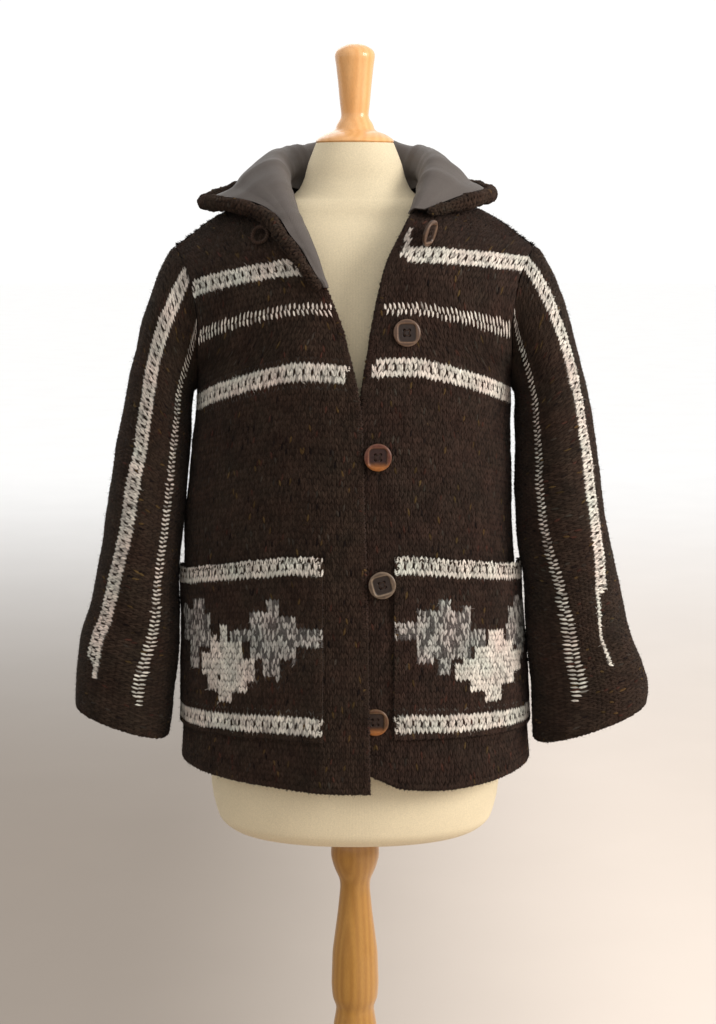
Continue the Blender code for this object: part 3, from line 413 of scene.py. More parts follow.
# Soft folds: panel, then X and height from and to, width and depth, and the side it faces
FOLDS = (
    ("sleeve_right", -0.290, 0.990, -0.235, 0.955, 0.016, -0.0045, -1),
    ("sleeve_right", -0.262, 1.190, -0.215, 1.160, 0.020, -0.0030, -1),
    ("sleeve_right", -0.315, 0.905, -0.230, 0.885, 0.012, -0.0025, -1),
    ("sleeve_right", -0.205, 1.230, -0.225, 1.060, 0.014, -0.0040, -1),
    ("sleeve_right", -0.290, 1.020, -0.225, 1.045, 0.022, -0.0045, 1),
    ("sleeve_right", -0.300, 0.930, -0.225, 0.950, 0.018, -0.0035, 1),
    ("sleeve_left", 0.315, 0.985, 0.255, 0.950, 0.012, -0.0055, -1),
    ("sleeve_left", 0.330, 0.935, 0.250, 0.975, 0.014, 0.0030, -1),
    ("sleeve_left", 0.268, 1.215, 0.220, 1.170, 0.020, -0.0030, -1),
    ("sleeve_left", 0.205, 1.230, 0.215, 1.060, 0.014, -0.0040, -1),
    ("sleeve_left", 0.335, 0.900, 0.230, 0.872, 0.011, -0.0030, -1),
    ("sleeve_left", 0.300, 1.020, 0.225, 1.045, 0.022, -0.0045, 1),
    ("front_right", -0.185, 1.230, -0.120, 1.150, 0.022, -0.0030, -1),
    ("front_right", -0.170, 1.120, -0.060, 1.085, 0.030, -0.0022, -1),
    ("front_left", 0.180, 1.230, 0.120, 1.160, 0.022, -0.0030, -1),
    ("front_left", 0.160, 1.110, 0.060, 1.090, 0.028, -0.0022, -1),
    ("back", -0.150, 1.250, -0.050, 1.180, 0.030, -0.0035, 1),
    ("back", 0.150, 1.240, 0.040, 1.190, 0.028, -0.0035, 1),
    ("back", -0.120, 1.060, 0.110, 1.040, 0.034, -0.0030, 1),
    ("back", -0.140, 0.930, 0.060, 0.960, 0.030, 0.0025, 1),
)


def smooth(x):
    x = np.clip(x, 0.0, 1.0)
    return x * x * (3 - 2 * x)


def hermite(first, last, start, end, t):
    """A value between two, at a share t of the span, from the rises at its start and end."""
    rise = last - first
    return first + start * t + (3 * rise - 2 * start - end) * t * t + (start + end - 2 * rise) * t ** 3


def unit(vectors):
    return vectors / np.linalg.norm(vectors, axis=-1, keepdims=True)


def lengths(line):
    """How far along a line of points each of them is."""
    return np.concatenate([[0], np.cumsum(np.linalg.norm(np.diff(line, axis=0), axis=1))])


def even_points(line, steps):
    """The points that split a line into equal steps."""
    length = lengths(line)
    wanted = np.linspace(0, length[-1], steps + 1)
    return np.stack([np.interp(wanted, length, line[:, k]) for k in range(3)], axis=1)


def reader(columns, rows):
    """A function (name, key) that reads a named column at a value of the first column, smoothly."""
    keys = np.array([row[0] for row in rows], float)
    tables = {name: np.array([row[k] for row in rows], float) for k, name in enumerate(columns)}
    slopes_of = {name: np.gradient(values, keys) for name, values in tables.items()}

    def read(name, key):
        values, slopes = tables[name], slopes_of[name]
        key = min(max(key, keys[0]), keys[-1])
        i = min(int(np.searchsorted(keys, key, side="right")) - 1, len(keys) - 2)
        span = keys[i + 1] - keys[i]
        share = (key - keys[i]) / span
        return float(hermite(values[i], values[i + 1], slopes[i] * span, slopes[i + 1] * span, share))

    return read


shoulder = reader(SHOULDER_COLUMNS, SHOULDER)
hems = reader(HEM_COLUMNS, HEMS)
body = reader(BODY_COLUMNS, BODY)
edges = reader(EDGE_COLUMNS, EDGES)
hood = reader(HOOD_COLUMNS, HOOD)


# Forms, as in the solids

def grid_normals(grid, closed=False):
    if closed:
        wide = np.concatenate([grid[:, -1:], grid, grid[:, :1]], axis=1)
        across = (wide[:, 2:] - wide[:, :-2]) / 2
    else:
        across = np.gradient(grid, axis=1)
    along = np.gradient(grid, axis=0)
    normals = np.cross(along, across)
    return normals / np.maximum(np.linalg.norm(normals, axis=2, keepdims=True), 1e-12)


def body_point(side, facing, angle, climb):
    power = 2 / ROUND
    here = side if angle >= 0 else -side
    half = body("minus_x" if here < 0 else "plus_x", climb)
    depth = body("front" if facing < 0 else "back", climb)
    out = half * abs(math.sin(angle)) ** power
    hem = "back" if facing > 0 else "front_right" if side < 0 else "front_left"
    rise = hems(hem, here * out) * max(1 - climb / BODY[1][0], 0.0)
    top = shoulder("height", out)
    bend = math.radians(90 * max(climb - 1, 0.0))
    straight = top - SHOULDER_DROP - HEM
    height = HEM + straight * min(climb, 1.0) + SHOULDER_DROP * math.sin(bend)
    if climb > 1 and facing > 0:
        bend *= neck_share(out)
        height = HEM + straight + SHOULDER_DROP * math.sin(bend)
    inward = depth * max(math.cos(angle), 0.0) ** power * math.cos(bend)
    return np.array([here * out, facing * inward, height + rise])


def neck_share(out):
    if out >= NECK_HALF:
        return 1.0
    low = BACK_NECK_BEND / 90
    return low + (1 - low) * (out / NECK_HALF) ** 3


def angle_at(side, out, climb):
    here = side if out >= 0 else -side
    half = body("minus_x" if here < 0 else "plus_x", climb)
    share = min(abs(out) / half, 1.0)
    return math.copysign(math.asin(share ** (ROUND / 2)), out)


def side_angle(climb):
    share = body("edge", climb)
    if climb <= BODY[ARMPIT_ROW][0]:
        return math.pi / 2
    return math.asin(min(share, 1.0) ** (ROUND / 2))


def edge_height(climb):
    top = SHOULDER[0][1]
    bend = math.radians(90 * max(climb - 1, 0.0))
    return HEM + (top - SHOULDER_DROP - HEM) * min(climb, 1.0) + SHOULDER_DROP * math.sin(bend)


def lap(side, out, height):
    if side > 0:
        return 0.0
    spread = 1 - smooth((out - 0.028) / 0.070)
    above = 1 - smooth((height - 1.245) / 0.080)
    low = smooth((0.965 - height) / 0.050)
    return (LAP * above + BUTTON_LIFT * low) * spread


def front_point(side, angle, climb):
    point = body_point(side, -1, angle, climb)
    point[1] -= lap(side, side * point[0], point[2])
    return point


def seam_clear(grid, facing):
    """The grid kept on its own side of the side seams."""
    grid[:, :, 1] = facing * np.maximum(facing * grid[:, :, 1], HALF_SEAM)
    return grid


def front_grid(side):
    rows = []
    for row in BODY:
        climb = row[0]
        edge = side * edges("upper" if side < 0 else "under", edge_height(climb))
        line = max(POCKET_EDGE[side], edge + EDGE_BAND)
        start = angle_at(side, edge, climb)
        middle = angle_at(side, line, climb)
        stop = side_angle(climb)
        inner = [start + (middle - start) * i / EDGE_CELLS for i in range(EDGE_CELLS)]
        outer = [middle + (stop - middle) * i / SIDE_CELLS for i in range(SIDE_CELLS + 1)]
        rows.append([front_point(side, a, climb) for a in inner + outer])
    return np.array(rows)


def back_grid():
    rows = []
    for row in BODY:
        climb = row[0]
        row = []
        for side in (-1, 1):
            neck = angle_at(side, NECK_HALF, climb)
            stop = side_angle(climb)
            half = [neck * i / (NECK_CELLS // 2) for i in range(1, NECK_CELLS // 2)]
            half += [neck + (stop - neck) * i / BLADE_CELLS for i in range(BLADE_CELLS + 1)]
            points = [body_point(side, 1, a, climb) for a in half]
            row = points[::-1] + [body_point(1, 1, 0.0, climb)] if side < 0 else row + points
        rows.append(row)
    return np.array(rows)


def outward(grid, normals):
    middle = np.array([0.0, 0.0, 1.10])
    flat = (grid - middle) * np.array([1, 1, 0.3])
    return normals * np.sign(np.sum(normals * flat))


def sleeve_grid(side, rings, grids):
    front = grids[side][0][ARMPIT_ROW:, -1]
    back = grids["back"][0][ARMPIT_ROW:, -1 if side > 0 else 0]
    loop = np.array(list(front) + list(back[-2:0:-1]))
    loop[0, 1] = 0.0
    loop[len(front) - 1, 1] = 0.0
    loop[:, 0] += side * (SEAM + 0.0001)
    count = len(loop)
    power = 2 / SLEEVE_ROUND
    rows = [loop]
    for ring in rings:
        row = dict(zip(SLEEVE_COLUMNS, ring))
        outer = np.array([side * row["out_x"], 0, row["out_z"]])
        inner = np.array([side * row["in_x"], 0, row["in_z"]])
        centre = (outer + inner) / 2 + np.array([0, row["middle"], 0])
        axis = (outer - inner) / 2
        points = []
        for i in range(count):
            turn = math.pi - 2 * math.pi * i / count
            reach = math.copysign(abs(math.cos(turn)) ** power, math.cos(turn))
            depth = math.copysign(abs(math.sin(turn)) ** power, math.sin(turn))
            points.append(centre + axis * reach - np.array([0, row["depth"] * depth, 0]))
        rows.append(loop * (1 - row["own"]) + np.array(points) * row["own"])
    return np.array(rows)


def neckline_points(grids):
    found = []
    for side in (-1, 1):
        outer, normals = grids[side]
        for i in range(len(BODY) - 1, 0, -1):
            along = side * (1 + (SHOULDER[0][1] - edge_height(BODY[i][0])) / HOOD_STEP)
            if HOOD[0][0] - 0.001 <= along <= HOOD[-1][0] + 0.001:
                found.append((along, outer[i, 0], normals[i, 0], outer[i, 1] - outer[i, 0]))
    outer, normals = grids["back"]
    middle = BLADE_CELLS + NECK_CELLS // 2
    for j in range(middle - NECK_CELLS // 2 + 1, middle + NECK_CELLS // 2):
        point = outer[-1, j]
        found.append((point[0] / NECK_HALF, point, normals[-1, j], outer[-2, j] - point))
    return sorted(found, key=lambda item: item[0])


def curve_through(points, samples):
    points = np.array(points)
    steps = np.linalg.norm(np.diff(points, axis=0), axis=1) ** 0.5
    keys = np.concatenate([[0], np.cumsum(steps)])
    slopes = np.gradient(points, keys, axis=0)
    fine = []
    for i in range(len(points) - 1):
        span = keys[i + 1] - keys[i]
        for t in np.linspace(0, 1, 12, endpoint=False):
            fine.append(hermite(points[i], points[i + 1], slopes[i] * span, slopes[i + 1] * span, t))
    return even_points(np.array(fine + [points[-1]]), samples)


def hood_station(along, here, normal, inside):
    normal = unit(normal)
    lie = hood("lie", along)
    heading = math.radians(hood("heading", along))
    away = np.array([math.sin(heading), math.cos(heading), 0.0])
    out = unit(away * (1 - lie) + unit(inside) * lie)
    up = unit(np.array([0, 0, 1.0]) * (1 - lie) + normal * lie)
    crest, keel, rim = ((hood(name + "_out", along), hood(name + "_up", along))
                        for name in ("crest", "keel", "rim"))
    half = hood("keel_wide", along) / 2
    profile = (
        (0.0, 0.0),
        (crest[0] * 0.35, crest[1] * 0.60),
        crest,
        (keel[0] - half, (crest[1] + keel[1]) / 2),
        keel,
        (keel[0] + half, (keel[1] + rim[1]) / 2),
        rim,
    )
    base = here + normal * REST
    return curve_through([base + out * a + up * b for a, b in profile], PROFILE_CELLS)


def taper(places, thin, reach):
    """1 along most of the hood, falling to thin over a reach at each of its two front ends."""
    from_ends = np.minimum((places - places[0]) / reach[0], (places[-1] - places) / reach[1])
    return thin + (1 - thin) * smooth(from_ends)


def hood_grid(grids):
    known = neckline_points(grids)
    stations = []
    for now, after in zip(known, known[1:]):
        stations.append(hood_station(*now))
        stations.append(hood_station(*[(a + b) / 2 for a, b in zip(now, after)]))
    stations.append(hood_station(*known[-1]))
    grid = np.array(stations)
    places = [item[0] for item in known]
    places = np.interp(np.arange(len(grid)) / 2, np.arange(len(places)), places)
    free = np.array([1 - hood("lie", along) for along in places])[1:-1, None, None] / 2
    for _ in range(EASE):
        even = (grid[:-2, 2:] + grid[2:, 2:]) / 2
        grid[1:-1, 2:] = grid[1:-1, 2:] * (1 - free) + even * free
    return grid, places


# Finer surfaces

def resample(grid, axis, places):
    """The grid read smoothly at fractional places along one axis."""
    grid = np.moveaxis(grid, axis, 0)
    steps = np.linalg.norm(np.diff(grid, axis=0), axis=2).mean(axis=1)
    keys = np.concatenate([[0], np.cumsum(steps)])
    slopes = np.gradient(grid, keys, axis=0)
    i = np.clip(np.floor(places).astype(int), 0, len(grid) - 2)
    span = (keys[i + 1] - keys[i])[:, None, None]
    made = hermite(grid[i], grid[i + 1], slopes[i] * span, slopes[i + 1] * span, (places - i)[:, None, None])
    return np.moveaxis(made, 0, axis)


def finer(grid, cells=FINE, closed=False):
    """The grid with each of its cells split into cells by cells."""
    rows, columns = grid.shape[:2]
    fine = resample(grid, 0, np.linspace(0, rows - 1, (rows - 1) * cells + 1))
    if not closed:
        return resample(fine, 1, np.linspace(0, columns - 1, (columns - 1) * cells + 1))
    wide = np.concatenate([fine[:, -3:], fine, fine[:, :3]], axis=1)
    return resample(wide, 1, np.arange(columns * cells) / cells + 3)


def fold(name, grid, normals):
    """The grid with its panel's soft folds and a slight unevenness all over."""
    lift = np.zeros(grid.shape[:2])
    for panel, x0, z0, x1, z1, width, depth, facing in FOLDS:
        if panel != name:
            continue
        line = np.array([x1 - x0, z1 - z0])
        spot = np.stack([grid[:, :, 0] - x0, grid[:, :, 2] - z0], axis=2)
        share = np.clip(spot @ line / (line @ line), 0, 1)
        apart = np.linalg.norm(spot - share[:, :, None] * line, axis=2)
        seen = smooth(normals[:, :, 1] * facing * 2)
        swell = 0.35 + 0.65 * np.sin(np.pi * (0.1 + 0.8 * share))
        lift += depth * np.exp(-(apart / width) ** 2) * seen * swell
    x, y, z = np.moveaxis(grid, 2, 0)
    lift += 0.0007 * np.sin(x * 61 + z * 23) * np.sin(z * 47 + y * 31 + 1.3)
    lift += 0.0004 * np.sin(x * 140 + y * 90 - z * 60) * np.sin(z * 118 + 0.4)
    rows = np.arange(len(grid))[:, None]
    edge = np.minimum(rows, len(grid) - 1 - rows) / (1.5 * FINE)
    return grid + normals * (lift * smooth(edge))[:, :, None]


def folded(name, coarse):
    """A panel's fine grid with its folds, and its normals."""
    fine = finer(coarse)
    fine = fold(name, fine, outward(fine, grid_normals(fine)))
    return fine, outward(fine, grid_normals(fine))


# Meshes

def new_object(name, data):
    made = bpy.data.objects.new(name, data)
    bpy.context.scene.collection.objects.link(made)
    return made


def mesh_piece(name, points, faces, finish, tint=None, uvs=None, sharp=None):
    """One shown piece that rides on the part, with a colour for each point."""
    mesh = bpy.data.meshes.new(name)
    mesh.from_pydata(np.asarray(points).tolist(), [], faces if isinstance(faces, list) else faces.tolist())
    mesh.shade_smooth()
    if sharp:
        mesh.set_sharp_from_angle(angle=math.radians(sharp))
    if tint is not None:
        layer = mesh.color_attributes.new("tint", "FLOAT_COLOR", "POINT")
        colours = np.ones((len(points), 4), np.float32)
        colours[:, :3] = tint
        layer.data.foreach_set("color", colours.ravel())
    if uvs is not None:
        layer = mesh.uv_layers.new(name="UVMap")
        index = np.zeros(len(mesh.loops), np.int32)
        mesh.loops.foreach_get("vertex_index", index)
        layer.data.foreach_set("uv", np.asarray(uvs, np.float32)[index].ravel())
    mesh.materials.append(finish)
    made = new_object(name, mesh)
    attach(made, "root")
    return made


def ring_faces(rings, sides, closed=False):
    """Faces between rings of points, and from the last ring to the first if closed."""
    i, k = np.meshgrid(np.arange(rings if closed else rings - 1), np.arange(sides), indexing="ij")
    j, n = (i + 1) % rings, (k + 1) % sides
    return np.stack([i * sides + k, i * sides + n, j * sides + n, j * sides + k], axis=2).reshape(-1, 4)


def capped(faces, rings, sides, turned=0):
    """The faces and one over each end, of which the turned one is listed backwards."""
    ends = [list(range(sides)), [(rings - 1) * sides + k for k in range(sides)]]
    ends[turned].reverse()
    return faces.tolist() + ends


def shell(outer, inner, closed=False):
    """Points and faces of a wall between two grids of points."""
    rows, columns = outer.shape[:2]
    points = np.concatenate([outer.reshape(-1, 3), inner.reshape(-1, 3)])
    back = rows * columns
    j = np.arange(columns if closed else columns - 1)
    n = (j + 1) % columns
    i = np.arange(rows - 1)[:, None] * columns
    a, b, c, d = ((i + k).ravel() for k in (j, n, columns + n, columns + j))
    last = (rows - 1) * columns
    faces = [(a, b, c, d), (back + d, back + c, back + b, back + a), (n, j, back + j, back + n),
             (last + j, last + n, back + last + n, back + last + j)]
    if not closed:
        i = i.ravel()
        faces.append((i, i + columns, back + i + columns, back + i))
        i = i + columns - 1
        faces.append((i + columns, i, back + i, back + i + columns))
    return points, np.concatenate([np.stack(corners, axis=1) for corners in faces])


def lattice(grid, normals, reference, step_up=COURSE, step_across=WALE, closed=False):
    """Stitch places on a grid: rows run across it, and their stitches line up at the reference column."""
    climb = lengths(grid[:, reference])
    if closed:
        grid = np.concatenate([grid, grid[:1]])
        normals = np.concatenate([normals, normals[:1]])
        steps = np.linalg.norm(np.diff(grid, axis=0), axis=2).mean(axis=1)
        climb = np.concatenate([[0], np.cumsum(steps)])
    count = max(int(round(climb[-1] / step_up)), 1)
    known = np.arange(len(climb))
    before, index, after = (np.interp((np.arange(count) + share) / count * climb[-1], climb, known)
                            for share in (0.0, 0.5, 1.0))

    def at(field, where):
        i = np.clip(np.floor(where).astype(int), 0, len(field) - 2)
        t = (where - i)[:, None, None]
        return field[i] * (1 - t) + field[i + 1] * t

    middle = at(grid, index)
    up = at(grid, after) - at(grid, before)
    facing = at(normals, index)
    found = {key: [] for key in ("place", "up", "right", "normal", "row", "column", "across", "index")}
    for r in range(count):
        length = lengths(middle[r])
        length -= length[reference]
        first = math.ceil(length[0] / step_across - 0.15)
        last = math.floor(length[-1] / step_across + 0.15)
        columns = np.arange(first, last)
        if len(columns) == 0:
            continue
        wanted = (columns + 0.5) * step_across

        def pick(field, shift=0.0):
            return np.stack([np.interp(wanted + shift, length, field[r, :, k]) for k in range(3)], axis=1)

        half = step_across / 2
        for key, value in (("place", pick(middle)), ("right", pick(middle, half) - pick(middle, -half)),
                           ("up", pick(up)), ("normal", pick(facing)), ("row", np.full(len(columns), r)),
                           ("column", columns), ("across", wanted),
                           ("index", np.full(len(columns), index[r]))):
            found[key].append(value)
    return {key: np.concatenate(value) for key, value in found.items()}


def plain(places):
    """The ground colour for each of the places."""
    return np.zeros(len(places["row"]), int)


def stitches(places, kinds, rise=STITCH_RISE):
    """Points, faces and colours of one knitted stitch at each place."""
    count = len(places["place"])
    legs = np.stack([LEG, LEG * (-1, 1, 1)], axis=0)
    local = np.broadcast_to(legs, (count, 2, 8, 3)).copy()
    local[..., :2] *= rng.uniform(0.90, 1.12, (count, 2, 1, 2))
    local[..., 0] += rng.normal(0, 0.060, (count, 2, 1))
    local[..., 1] += rng.normal(0, 0.110, (count, 2, 1))
    local[..., 2] *= rng.uniform(0.55, 1.45, (count, 2, 1))
    local[..., 2] += rng.normal(0, 0.18, (count, 2, 8))
    normal = unit(places["normal"])
    points = (places["place"][:, None, None] + local[..., 0:1] * places["right"][:, None, None]
              + local[..., 1:2] * places["up"][:, None, None] + local[..., 2:3] * normal[:, None, None] * rise)
    flip = np.sum(np.cross(places["right"], places["up"]) * normal, axis=1) < 0
    faces = np.broadcast_to(LEG_FACES, (count, 2, 8, 3)).copy()
    faces[:, 1] = faces[:, 1][:, :, ::-1]
    faces[flip] = faces[flip][..., ::-1]
    faces += (np.arange(count * 2) * 8).reshape(count, 2, 1, 1)
    # Painted light: the higher points of a leg are painted lighter and the lower ones darker, as painted shade
    # down between the legs.
    tint = colours_of(kinds, (count, 2))[:, :, None] * (1 + 0.22 * (local[..., 2:3] - 0.5))
    return points.reshape(-1, 3), faces.reshape(-1, 3), np.clip(tint.reshape(-1, 3), 0, 1)


def colours_of(kinds, shape):
    """A colour for each leg: 0 brown, 1 cream, 2 grey marl, 3 or 4 cream on one of its two legs."""
    kinds = np.broadcast_to(np.asarray(kinds).reshape(-1, *[1] * (len(shape) - 1)), shape).copy()
    for kind in (3, 4):
        one = kinds == kind
        kinds[one] = 0
        if len(shape) > 1:
            kinds[:, kind - 3][one[:, kind - 3]] = 1
    tint = BROWN * rng.uniform(0.70, 1.35, (*shape, 1)) * (1, rng.uniform(0.94, 1.06), 1)
    fleck = rng.random(shape)
    pick = rng.integers(0, len(FLECKS), shape)
    tint = np.where((fleck < 0.05)[..., None], FLECKS[pick] * rng.uniform(0.6, 1.2, (*shape, 1)), tint)
    cream = CREAM * rng.uniform(0.70, 1.12, (*shape, 1))
    cream = np.where((fleck < 0.06)[..., None], cream * 0.45, cream)
    light = rng.random(shape) < 0.56
    marl = np.where(light[..., None], MARL_LIGHT, MARL_DARK) * rng.uniform(0.75, 1.2, (*shape, 1))
    tint = np.where((kinds == 1)[..., None], cream, tint)
    return np.where((kinds == 2)[..., None], marl, tint)


def fibres(places, kinds, share, reach=(0.003, 0.008)):
    """Loose fibres of felted wool that stand off the stitches."""
    chosen = np.flatnonzero(rng.random(len(places["place"])) < share)
    chosen = np.concatenate([chosen] * max(int(math.ceil(share)), 1))
    n = len(chosen)
    normal = places["normal"][chosen]
    right = places["right"][chosen] / WALE
    up = unit(places["up"][chosen])
    root = places["place"][chosen] + right * rng.uniform(-0.5, 0.5, (n, 1)) * WALE
    root += up * rng.uniform(-0.5, 0.5, (n, 1)) * COURSE
    length = rng.uniform(*reach, (n, 1)) * rng.uniform(0.4, 1.0, (n, 1))
    lean = right * rng.normal(0, 0.8, (n, 1)) + up * rng.normal(0, 0.8, (n, 1))
    way = unit(normal * rng.uniform(0.25, 1.0, (n, 1)) + lean)
    bend = unit(way - normal * rng.uniform(0.2, 0.9, (n, 1)) + right * rng.normal(0, 0.4, (n, 1)))
    side = np.cross(way, normal)
    side /= np.maximum(np.linalg.norm(side, axis=1, keepdims=True), 1e-9)
    side *= rng.uniform(0.00007, 0.00018, (n, 1))
    middle = root + way * length * 0.55
    tip = middle + bend * length * 0.45
    points = np.stack([root - side, root + side, middle + side * 0.7, middle - side * 0.7, tip], axis=1)
    faces = np.array(((0, 1, 2), (0, 2, 3), (3, 2, 4)))[None] + (np.arange(n) * 5)[:, None, None]
    tint = colours_of(np.asarray(kinds)[chosen], (n,)) * 1.2
    tint = np.repeat(np.clip(tint, 0, 0.8)[:, None], 5, axis=1)
    return points.reshape(-1, 3), faces.reshape(-1, 3), tint.reshape(-1, 3)


def joined(parts):
    """Several sets of points, faces and colours as one."""
    points, faces, tints = zip(*parts)
    starts = np.cumsum([0] + [len(p) for p in points])
    faces = [part + start for part, start in zip(faces, starts)]
    return np.concatenate(points), np.concatenate(faces), np.concatenate(tints)


def edge_stitches(line, normals, away, share, thick=KNIT, reach=0.004, closed=False):
    """Stitches and fibres on a grid that wraps round a free edge, from its outer face to its inner one."""
    radius = thick / 2
    away = unit(away)
    centre = line - normals * radius - away * radius
    band = [centre + normals * radius - away * reach]
    turns = np.linspace(0, math.pi, 7)
    band += [centre + radius * (normals * math.cos(t) + away * math.sin(t)) for t in turns]
    band = np.array(band + [centre - normals * radius - away * reach])
    around = grid_normals(band, closed)
    around *= np.sign(np.sum(around[1] * normals))
    if closed:
        band = np.concatenate([band, band[:, :1]], axis=1)
        around = np.concatenate([around, around[:, :1]], axis=1)
    places = lattice(band, around, 0, EDGE_COURSE)
    return [stitches(places, plain(places)), fibres(places, plain(places), share)]


# Materials

def add(tree, kind, settings=None, **inputs):
    """A new node; inputs are named, or numbered as _0, and take a value or another node's output."""
    node = tree.nodes.new(kind)
    for key, value in (settings or {}).items():
        setattr(node, key, value)
    for key, value in inputs.items():
        socket = node.inputs[int(key[1:]) if key[0] == "_" and key[1:].isdigit() else key.replace("_", " ")]
        if isinstance(value, bpy.types.NodeSocket):
            tree.links.new(value, socket)
        else:
            socket.default_value = value
    return node


def surface(name, **constants):
    """A material with its node tree, shader and texture coordinates."""
    made = bpy.data.materials.new(name)
    made.use_nodes = True
    tree = made.node_tree
    shader = tree.nodes["Principled BSDF"]
    for key, value in constants.items():
        shader.inputs[key.replace("_", " ")].default_value = value
    return made, tree, shader, tree.nodes.new("ShaderNodeTexCoord").outputs


def noise(tree, where, scale, detail, **more):
    return add(tree, "ShaderNodeTexNoise", Vector=where, Scale=scale, Detail=detail, **more).outputs[0]


def finish(tree, shader, colour, height, strength, distance):
    """The colour and a bump on the shader."""
    tree.links.new(colour, shader.inputs["Base Color"])
    bump = add(tree, "ShaderNodeBump", Strength=strength, Distance=distance, Height=height)
    tree.links.new(bump.outputs[0], shader.inputs["Normal"])


def times(tree, colour, factor):
    """A colour multiplied by a grey factor."""
    return add(tree, "ShaderNodeVectorMath", {"operation": "SCALE"}, _0=colour, Scale=factor).outputs[0]


def remap(tree, value, low, high):
    return add(tree, "ShaderNodeMapRange", Value=value, To_Min=low, To_Max=high).outputs["Result"]


def knit_material(name):
    made, tree, shader, place = surface(
        name, Roughness=0.95, Sheen_Weight=0.03, Sheen_Roughness=0.55, Specular_IOR_Level=0.06)
    colour = add(tree, "ShaderNodeAttribute", {"attribute_name": "tint"}).outputs["Color"]
    streaks = add(tree, "ShaderNodeMapping", Vector=place["Object"], Scale=(1.0, 1.0, 0.35))
    hairs = noise(tree, streaks.outputs[0], 1100.0, 4.0, Roughness=0.65)
    patches = noise(tree, place["Object"], 42.0, 3.0)
    warm = remap(tree, noise(tree, place["Object"], 27.0, 2.0), -0.6, 1.6)
    hue = add(tree, "ShaderNodeMix", {"data_type": "RGBA"}, _0=warm, _6=(0.93, 1.02, 1.01, 1),
              _7=(1.09, 0.99, 0.985, 1))
    both = add(tree, "ShaderNodeVectorMath", {"operation": "MULTIPLY"}, _0=colour, _1=hue.outputs[2])
    colour = times(tree, both.outputs[0], remap(tree, hairs, 0.40, 1.60))
    colour = times(tree, colour, remap(tree, patches, 0.55, 1.45))
    finish(tree, shader, colour, hairs, 0.8, 0.0012)
    return made


def weave_height(tree, place, pitch):
    """A plain weave's height from the piece's own UV in metres."""
    parts = add(tree, "ShaderNodeSeparateXYZ", Vector=place["UV"])
    waves = []
    for k in (0, 1):
        wave = add(tree, "ShaderNodeMath", {"operation": "MULTIPLY"}, _0=parts.outputs[k], _1=math.pi / pitch)
        for operation in ("SINE", "ABSOLUTE"):
            wave = add(tree, "ShaderNodeMath", {"operation": operation}, _0=wave.outputs[0])
        waves.append(wave.outputs[0])
    return add(tree, "ShaderNodeMath", {"operation": "MAXIMUM"}, _0=waves[0], _1=waves[1]).outputs[0]


def cloth_material(name, colour, pitch, sheen, roughness, patch_scale):
    made, tree, shader, place = surface(
        name, Roughness=roughness, Sheen_Weight=sheen, Sheen_Roughness=0.4, Specular_IOR_Level=0.25)
    shade = add(tree, "ShaderNodeRGB").outputs[0]
    shade.default_value = (*colour, 1)
    weave = weave_height(tree, place, pitch)
    # The noises vary the tone; the weave's own height darkens the hollows between threads as painted shade.
    for value, low, high in ((noise(tree, place["Object"], patch_scale, 3.0), 0.88, 1.12),
                             (noise(tree, place["Object"], 700.0, 2.0), 0.82, 1.18), (weave, 0.80, 1.04)):
        shade = times(tree, shade, remap(tree, value, low, high))
    finish(tree, shader, shade, weave, 0.5, 0.0003)
    return made


def wood_material(name, light, dark, along=(1.0, 1.0, 0.06)):
    made, tree, shader, place = surface(
        name, Roughness=0.36, Coat_Weight=0.40, Coat_Roughness=0.12, Specular_IOR_Level=0.35)
    stretched = add(tree, "ShaderNodeMapping", Vector=place["Object"], Scale=along,
                    Location=(0.012, 0.031, 0.0)).outputs[0]
    grain = noise(tree, stretched, 190.0, 5.0, Roughness=0.6, Distortion=0.6)
    rings = add(tree, "ShaderNodeTexWave", {"wave_type": "RINGS", "rings_direction": "Z"},
                Vector=stretched, Scale=38.0, Distortion=2.2, Detail=2.0, Detail_Scale=1.5)
    flecks = add(tree, "ShaderNodeMapping", Vector=place["Object"], Scale=(1.0, 1.0, 0.22))
    spots = noise(tree, flecks.outputs[0], 900.0, 1.0)
    mixed = add(tree, "ShaderNodeMix", Factor=0.42, _2=grain, _3=rings.outputs[1])
    ramp = add(tree, "ShaderNodeValToRGB", _0=mixed.outputs[0])
    for stop, colour, position in zip(ramp.color_ramp.elements, (dark, light), (0.22, 0.74)):
        stop.color = (*colour, 1)
        stop.position = position
    colour = times(tree, ramp.outputs[0], remap(tree, spots, 0.86, 1.10))
    finish(tree, shader, colour, grain, 0.12, 0.0004)
    return made


def horn_material(name):
    made, tree, shader, place = surface(
        name, Roughness=0.36, Coat_Weight=0.08, Coat_Roughness=0.20, Specular_IOR_Level=0.22)
    tint = add(tree, "ShaderNodeAttribute", {"attribute_name": "tint"}).outputs["Color"]
    clouds = noise(tree, place["Object"], 170.0, 5.0, Roughness=0.6, Distortion=1.2)
    finish(tree, shader, times(tree, tint, remap(tree, clouds, 0.35, 1.65)), clouds, 0.15, 0.0003)
    return made


def blend(tree, value, start, end, near, far):
    """A mix of two colours over a range of a value."""
    share = add(tree, "ShaderNodeMapRange", {"interpolation_type": "SMOOTHSTEP"}, Value=value, From_Min=start,
                From_Max=end).outputs["Result"]
    return add(tree, "ShaderNodeMix", {"data_type": "RGBA"}, _0=share, _6=near, _7=far).outputs[2]


